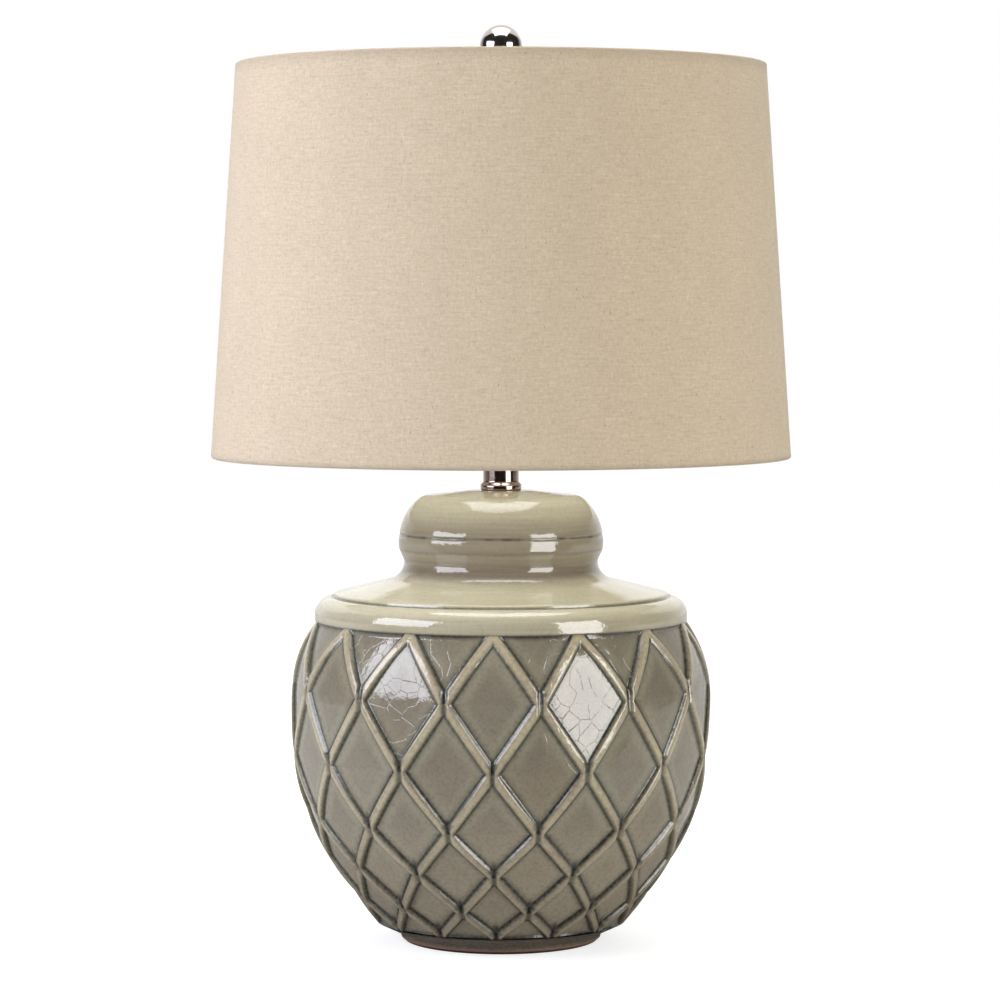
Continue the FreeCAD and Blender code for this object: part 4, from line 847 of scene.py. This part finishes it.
def top_pool(r, z):
    """Glaze pooled under the ledge, in the shoulder's step, round the necking and in the cap's groove."""
    at_step = (r < R_SHOULDER + 2.5) & (r > R_SHOULDER - 1)
    lines = [
        0.9 * bell(z, Z_LEDGE - 0.6, 1.2),
        0.75 * bell(z, Z_LEDGE_TOP + 0.2, 1.0) * at_step,
        0.25 * bell(z, Z_CAP_BAND - 0.5, 1.2),
        0.18 * bell(z, Z_NECKING_FOOT + 3.0, 4.0),
    ]
    # The line in the groove is broken here and there, where the glaze covers it.
    angle = np.linspace(0, 2 * math.pi, TOP_COLUMNS, endpoint=False)
    worn = 0.62 + 0.3 * np.sin(7 * angle + 0.5) * np.sin(19 * angle) + 0.12 * np.sin(43 * angle)
    groove = np.outer(bell(z, Z_CAP_GROOVE, CAP_GROOVE_WIDTH), worn)
    return np.maximum(all_round(np.maximum.reduce(lines), TOP_COLUMNS), groove)


def top_shade_share(z):
    """Share of painted shade: most at the waist, some on the ledge's side, none on the tops, painted as lit.
    """
    waist_shade = smooth(z, Z_NECKING_FOOT - 5, Z_NECKING_FOOT + 5)
    waist_shade *= 1 - BAND_PALING * smooth(z, Z_NECKING, Z_CAP_BAND - 2)
    waist_shade *= 1 - smooth(z, Z_CAP_GROOVE + 3, Z_JAR_TOP - 4)
    return waist_shade + LEDGE_TONE * (1 - smooth(z, Z_LEDGE_TOP - 9, Z_LEDGE_TOP - 1))


def top_mesh():
    """Ledge, shoulder, necking and cap, above the lattice."""
    corners = [
        (R_LEDGE - 1.2, Z_LEDGE - 1.0, 0),
        (R_LEDGE, Z_LEDGE, 0.8),
        (R_LEDGE, Z_LEDGE_TOP, LEDGE_ROUND),
        (R_SHOULDER, Z_LEDGE_TOP, 0.5),
        (R_SHOULDER, Z_SHOULDER, SHOULDER_ROUND),
        (R_NECKING, Z_NECKING_FOOT, NECKING_SWEEP),
        (R_NECKING, Z_NECKING, NECKING_ROUND),
        (R_CAP_BAND, Z_CAP_BAND, BAND_ROUND),
        (R_CAP_BAND, Z_CAP_TURN, CAP_ROUND),
        (R_CAP_CROWN, Z_CAP_CROWN, CROWN_ROUND),
        (R_CAP_SEAT, Z_JAR_TOP, TOP_ROUND),
        (R_TOP_HOLE, Z_JAR_TOP, 0.6),
        (R_TOP_HOLE, Z_JAR_TOP - TOP_HOLE_DEPTH, 0),
    ]
    outline = sampled_outline(corners, TOP_STEP)
    z = outline[:, 1]
    r = outline[:, 0] - CAP_GROOVE_DEPTH * bell(z, Z_CAP_GROOVE, CAP_GROOVE_WIDTH)
    piece = grid_mesh("jar_top", r, z, TOP_COLUMNS)
    # Here the middle share holds the painted shade at the waist and on the ledge's side.
    paint(piece, pool=top_pool(r, z), middle=all_round(top_shade_share(z), TOP_COLUMNS), upper=1.0)
    return piece


def foot_mesh():
    """The turned foot and the underside, with the ring bare of glaze."""
    corners = [
        (R_OPENING, Z_OPENING, 0),
        (R_OPENING, Z_FOOT_CEILING, 0.8),
        (R_FOOT_INSIDE, Z_FOOT_CEILING, 2.0),
        (R_FOOT_INSIDE, FELT, 1.0),
        (R_FOOT, FELT, FOOT_ROUND),
        (R_FOOT, Z_FLARE - 0.5, 1.0),
        (R_FOOT_FLARE, Z_LATTICE_FOOT - 4.2, FLARE_ROUND),
        (R_LATTICE_FOOT, Z_LATTICE_FOOT, 0),
    ]
    outline = sampled_outline(corners, TOP_STEP)
    r, z = outline[:, 0], outline[:, 1]
    piece = grid_mesh("jar_foot", r, z, TOP_COLUMNS)
    outside = r > R_FOOT_INSIDE + 4
    bare = np.where(outside, 1 - smooth(z, FELT + 0.8, FELT + 1.8), 1.0)
    pool = np.where(outside, 0.55 + 0.35 * bell(z, Z_LATTICE_FOOT, 1.5), 0.0)
    bare, pool = all_round(bare, TOP_COLUMNS), all_round(pool, TOP_COLUMNS)
    paint(piece, pool=pool, middle=1.0, low=1.0, foot=bare)
    return piece


def cut_cord_hole(piece):
    """Opens the wall behind the cord bushing's flange."""
    low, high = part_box("cord_bushing")
    centre = (Vector(low) + Vector(high)) / 2
    slope = float(Belly().slope(centre.z / MM))
    turn = math.atan2(centre.x, -centre.y)
    axis = Vector((math.sin(turn) * math.cos(slope), -math.cos(turn) * math.cos(slope), math.sin(slope)))
    mesh = bmesh.new()
    mesh.from_mesh(piece.data)
    inside = []
    for vert in mesh.verts:
        away = vert.co - centre
        if away.length < CORD_HOLE_REACH and (away - axis * away.dot(axis)).length < CORD_HOLE_R:
            inside.append(vert)
    bmesh.ops.delete(mesh, geom=inside, context="VERTS")
    mesh.to_mesh(piece.data)
    mesh.free()


def jar():
    piece = joined("jar_glazed", [belly_mesh(Belly()), top_mesh(), foot_mesh()])
    cut_cord_hole(piece)
    dress(piece, GLAZE)
    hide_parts("jar_body")
    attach(piece, "lamp")


# ---------------- shade


def shade_wall(a, b):
    """A point a up the wall from its bottom edge and b outwards from the cloth's face, as (radius, z)."""
    run = np.array([SHADE_TOP_R - SHADE_BOTTOM_R, SHADE_TOP_Z - SHADE_BOTTOM_Z])
    up = run / np.linalg.norm(run)
    out = np.array([up[1], -up[0]])
    return np.array([SHADE_BOTTOM_R, SHADE_BOTTOM_Z]) + up * a + out * b


def shade_cover():
    """The linen wall with its hems round both wires."""
    length, depth, inner_round = SHADE_SLANT, 2 * HEM_FOLD, HEM_ROUND - CLOTH
    corners = [
        (HEM_FLAP, -depth, FLAP_ROUND),
        (0, -depth, HEM_ROUND),
        (0, 0, HEM_ROUND),
        (length, 0, HEM_ROUND),
        (length, -depth, HEM_ROUND),
        (length - HEM_FLAP, -depth, FLAP_ROUND),
        (length - HEM_FLAP, CLOTH - depth, FLAP_ROUND),
        (length - CLOTH, CLOTH - depth, inner_round),
        (length - CLOTH, -CLOTH, inner_round),
        (CLOTH, -CLOTH, inner_round),
        (CLOTH, CLOTH - depth, inner_round),
        (HEM_FLAP, CLOTH - depth, FLAP_ROUND),
    ]
    start = (HEM_FLAP, CLOTH / 2 - depth, 0)
    flat = sampled_outline([start] + corners + [start], HEM_STEP, WALL_STEP)[:-1]
    height = flat[:, 0]
    places = np.array([shade_wall(a, b) for a, b in flat])
    # The hem's fold is a little uneven by hand.
    angle = np.linspace(0, 2 * math.pi, SHADE_COLUMNS, endpoint=False)
    hem = bell(height, HEM_FOLD, HEM_FADE) + bell(height, length - HEM_FOLD, HEM_FADE)
    uneven = sum(wave * np.sin(count * angle + turn) for wave, count, turn in HEM_WAVES)
    radii = places[:, :1] + np.outer(hem, uneven)
    piece = grid_mesh("shade_cover", radii, places[:, 1], SHADE_COLUMNS, closed=True)
    girth = math.pi * (SHADE_BOTTOM_R + SHADE_TOP_R)
    add_weave(piece, np.append(height, height[0]), SHADE_COLUMNS, girth)
    dress(piece, LINEN)
    return piece


def shade_seam():
    """The cover's free edge, lapped over its start down the middle of the back."""
    heights = np.linspace(SEAM_END, SHADE_SLANT - SEAM_END, SEAM_ROWS)
    across = np.linspace(-0.5, 0.5, SEAM_COLUMNS)
    edge = np.clip((np.abs(across) - SEAM_FLAT) / (0.5 - SEAM_FLAT), 0, 1)
    proud = SEAM_THICKNESS * (1 - SEAM_DROP * edge**2)
    places = []
    for height in heights:
        for share, out in zip(across, proud):
            radius, z = shade_wall(height, out)
            angle = share * SEAM_WIDTH / SHADE_BOTTOM_R
            places.append((radius * math.sin(angle) * MM, radius * math.cos(angle) * MM, z * MM))
    faces = grid_faces(SEAM_ROWS, SEAM_COLUMNS, columns_close=False)
    piece = mesh_object("shade_seam", np.array(places), faces)
    add_weave(piece, heights, SEAM_COLUMNS - 1, SEAM_WIDTH, SEAM_WEAVE_START)
    dress(piece, LINEN)
    return piece


def add_weave(piece, heights, columns, width, start=0.0):
    """Coordinates for the weave, in metres: round the shade and up its wall. columns counts faces."""
    layer = piece.data.uv_layers.new(name="weave")
    loops = len(piece.data.loops)
    corner = np.arange(loops) % 4
    face = np.arange(loops) // 4
    row, column = face // columns, face % columns
    u = (column + (corner >= 2)) / columns * width * MM + start
    v = heights[row + ((corner == 1) | (corner == 2))] * MM
    places = np.stack([u, v], axis=-1).ravel().astype(np.float32)
    layer.data.foreach_set("uv", places)


def shade():
    piece = joined("shade_cover", [shade_cover(), shade_seam()])
    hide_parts("shade_fabric")
    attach(piece, "shade")


# ---------------- metal fittings and bulb


def stand_in(piece, node, body):
    """Lets the piece take the place of a node, on the node's body."""
    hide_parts(node)
    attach(piece, body)


def neck():
    z = Z_JAR_TOP
    top = z + NECK_HEIGHT
    under_top = top - NECK_TOP_THICKNESS
    corners = [
        (NECK_BORE_R, z, 0),
        (COLLAR_FOOT_R, z, 0.4),
        (COLLAR_R, z + COLLAR_FOOT, 0.5),
        (COLLAR_R, z + COLLAR_TOP, 0.9),
        (NECK_R, z + COLLAR_SHOULDER, 1.0),
        (NECK_R, top, 0.5),
        (NECK_TOP_HOLE_R, top, 0.3),
        (NECK_TOP_HOLE_R, under_top, 0.3),
        (NECK_BORE_R, under_top, 0.4),
    ]
    piece = lathe("neck_tube", corners, DARK_NICKEL, NECK_COLUMNS, NECK_STEP)
    stand_in(piece, "neck", "lamp")


def finial():
    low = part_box("finial_knob")[0][2] / MM
    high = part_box("finial_knob")[1][2] / MM
    centre = high - BALL_R
    meet = centre - math.sqrt(BALL_R**2 - WAIST_R**2)
    corners = [
        (FINIAL_BORE_R, low + FINIAL_BORE_DEPTH, 0),
        (FINIAL_BORE_R, low, 0.3),
        (FLANGE_R, low, 0.6),
        (FLANGE_R, low + FLANGE_HEIGHT, 0.9),
        (WAIST_R, low + FLANGE_SLOPE, 0.6),
        (WAIST_R, meet - 0.2, 0),
    ]
    rise = np.linspace(-math.acos(WAIST_R / BALL_R), math.pi / 2, BALL_POINTS)
    corners += [(BALL_R * math.cos(t), centre + BALL_R * math.sin(t), 0) for t in rise[1:-1]]
    corners += [(0.0, high, 0)]
    piece = lathe("finial_ball", corners, NICKEL, FINIAL_COLUMNS, FINIAL_STEP, closed=False)
    stand_in(piece, "finial_knob", "finial")


def dress_nodes():
    """Materials for the nodes whose own shape is shown."""
    looks = {
        "felt_pad": FELT_CLOTH,
        "base_plate": STEEL,
        "lamp_pipe": STEEL,
        "bottom_washer": STEEL,
        "bottom_nut": STEEL,
        "cord_bushing": CREAM_PLASTIC,
        "top_bushing": CREAM_PLASTIC,
        "harp_saddle": NICKEL,
        "lock_washer": STEEL,
        "saddle_lock_nut": STEEL,
        "harp": NICKEL,
        "harp_stud": NICKEL,
        "ferrule_left": NICKEL,
        "ferrule_right": NICKEL,
        "socket_cap": NICKEL,
        "cap_set_screw": STEEL,
        "socket_shell": NICKEL,
        "socket_liner": FIBRE,
        "socket_body": DARK_MOULDING,
        "terminal_screws": BRASS,
        "screw_shell": ALUMINIUM,
        "centre_contact": BRASS,
        "switch_shaft": STEEL,
        "switch_knob": BLACK_PLASTIC,
        "bulb_contact": STEEL,
        "bulb_insulator": BULB_BLACK,
        "bulb_screw_cap": ALUMINIUM,
        "bulb_glass": FROSTED,
        "shade_liner": STYRENE,
        "shade_top_ring": WHITE_ENAMEL,
        "shade_bottom_ring": WHITE_ENAMEL,
        "spider_hub": WHITE_ENAMEL,
        "spider_arms": WHITE_ENAMEL,
        "finial_insert": BRASS,
    }
    for node, material in looks.items():
        dress(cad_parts[node], material)


# ---------------- studio

# Floor: its size, how far it lies below the felt, and the front edge of the table with its softness.
FLOOR_SIZE = 12.0
FLOOR_GAP = 0.0002
TABLE_FRONT = -0.30
TABLE_EDGE = 0.02

# Greys of the floor as light meets it and as the camera sees it. Then its glow in mirror-like surfaces,
# which is dimmed near the lamp as a painted shadow, and to the camera: two distances from the lamp's axis,
# and the strength at each.
FLOOR_GREY = 0.66
SEEN_GREY = 0.5
GLOSS_GLOW_WITH_SHADOW = (0.12, 0.45, 0.06, 0.75)
SEEN_GLOW = (0.3, 0.9, 0.74, 1.0)

# Strength of the light from all round on matt surfaces, and of the room's dark part in mirror-like ones.
AMBIENT = 0.34
ROOM_DARK = 0.03

# The same room's white parts: how far back and how high a direction points where they begin and are full,
# how much of the way back counts as height, and the strength overhead.
ROOM_BACK = (0.4, 0.85)
ROOM_HEIGHT = (0.80, 0.86)
ROOM_LEAN = 0.75
ROOM_OVERHEAD = 1.2

# Lamps: what they face, their distance from it, and their tints. A lamp for gloss alone stands a little
# nearer, so that it doesn't share a plane with the softbox behind it.
LAMP_TARGET = Vector((0, 0, 0.25))
SOFTBOX_DISTANCE = 1.2
SPARKLE_DISTANCE = 1.18
COOL = (0.90, 0.94, 1.12)
WARM = (1.0, 0.99, 0.985)


def floor_material():
    """Pale floor that the camera sees as white apart from the lamp's shadow.

    Mirror-like surfaces see only the table's depth of it: in front of the table the studio is dark.
    """
    s = Shader("studio_floor")
    rays = s.node("LightPath").outputs
    place = s.place()
    distance = s.node("VectorMath", {0: place}, operation="LENGTH").outputs["Value"]
    backward = s.node("SeparateXYZ", {"Vector": place}).outputs["Y"]
    table = s.remap(backward, TABLE_FRONT - TABLE_EDGE, TABLE_FRONT + TABLE_EDGE)
    # The table's glow in gloss is dimmed near the lamp: a painted shadow.
    shaded_table_top = s.light("Emission", s.remap(distance, *GLOSS_GLOW_WITH_SHADOW))
    seen_in_gloss = s.blend(table, s.grey(ROOM_DARK), shaded_table_top)
    glow = s.light("Emission", s.remap(distance, *SEEN_GLOW))
    seen_by_eye = s.node("AddShader", {0: s.grey(SEEN_GREY), 1: glow}).outputs[0]
    others = s.blend(rays["Is Glossy Ray"], s.grey(FLOOR_GREY), seen_in_gloss)
    return s.finished(s.blend(rays["Is Camera Ray"], others, seen_by_eye))


def room_strength(n):
    """The room as mirror-like surfaces see it: white behind the table and overhead, dark elsewhere."""
    direction = n.node("TexCoord").outputs["Generated"]
    parts = n.node("SeparateXYZ", {"Vector": direction}).outputs
    behind = n.remap(parts["Y"], *ROOM_BACK)
    height = n.math("MULTIPLY_ADD", parts["Y"], ROOM_LEAN, parts["Z"])
    above = n.remap(height, *ROOM_HEIGHT, 0.0, ROOM_OVERHEAD)
    return n.math("MAXIMUM", n.math("MAXIMUM", behind, above), ROOM_DARK)


def studio_world():
    """White to the camera, the room to mirror-like surfaces, and an even light to all others."""
    world = bpy.data.worlds.new("studio")
    bpy.context.scene.world = world
    world.use_nodes = True
    n = Nodes(world.node_tree)
    rays = n.node("LightPath").outputs
    even = n.light("Background", AMBIENT)
    room = n.light("Background", room_strength(n))
    lit = n.blend(rays["Is Glossy Ray"], even, room)
    seen = n.blend(rays["Is Camera Ray"], lit, n.light("Background", 1.0))
    n.link(seen, n.node("OutputWorld").inputs[0])


def studio():
    bpy.ops.mesh.primitive_plane_add(size=FLOOR_SIZE, location=(0, 0, -FLOOR_GAP))
    floor = bpy.context.object
    floor.name = "studio_floor"
    dress(floor, floor_material())
    studio_world()


def softbox(name, azimuth, elevation, wide, tall, radiance, tint=WARM, in_gloss_only=False, in_gloss=True):
    """A lamp panel that faces the jar. Azimuth is from the front, towards +X. Angles are in degrees."""
    distance = SPARKLE_DISTANCE if in_gloss_only else SOFTBOX_DISTANCE
    a, e = math.radians(azimuth), math.radians(elevation)
    direction = Vector((math.sin(a) * math.cos(e), -math.cos(a) * math.cos(e), math.sin(e)))
    data = bpy.data.lights.new(name, "AREA")
    data.shape = "RECTANGLE"
    data.size = 2 * distance * math.tan(math.radians(wide) / 2)
    data.size_y = 2 * distance * math.tan(math.radians(tall) / 2)
    data.energy = radiance * math.pi * data.size * data.size_y
    data.color = tint
    lamp = bpy.data.objects.new(name, data)
    lamp.visible_diffuse = not in_gloss_only
    lamp.visible_glossy = in_gloss
    lamp.location = LAMP_TARGET + distance * direction
    lamp.rotation_euler = (-direction).to_track_quat("-Z", "Y").to_euler()
    bpy.context.scene.collection.objects.link(lamp)


def lamps():
    """Softboxes on the left and the right, one behind and one overhead. Only the first is cool.

    The gloss-only lamps strengthen the first two in the glaze and the metal.
    """
    left = {"azimuth": -62, "elevation": 19}
    right = {"azimuth": 48, "elevation": 10}
    softbox("left_softbox", **left, wide=40, tall=34, radiance=5.4, tint=COOL)
    softbox("left_sparkle", **left, wide=38, tall=32, radiance=2.0, in_gloss_only=True)
    softbox("right_softbox", **right, wide=30, tall=44, radiance=2.75)
    softbox("right_sparkle", **right, wide=28, tall=42, radiance=5.7, in_gloss_only=True)
    softbox("back_softbox", azimuth=168, elevation=24, wide=46, tall=40, radiance=2.6, in_gloss=False)
    softbox("overhead", azimuth=0, elevation=88, wide=44, tall=40, radiance=4.0)


def camera():
    data = bpy.data.cameras.new("eye")
    data.lens = FOCAL_MM
    data.sensor_width = SENSOR_MM
    eye = bpy.data.objects.new("eye", data)
    eye.location = (EYE_SIDE, -EYE_DISTANCE, EYE_HEIGHT)
    eye.rotation_euler = (math.pi / 2 - EYE_TILT, 0, 0)
    bpy.context.scene.collection.objects.link(eye)
    bpy.context.scene.camera = eye


camera()
studio()
lamps()
bpy.context.scene.view_settings.view_transform = "Standard"

jar()
shade()
neck()
finial()
dress_nodes()
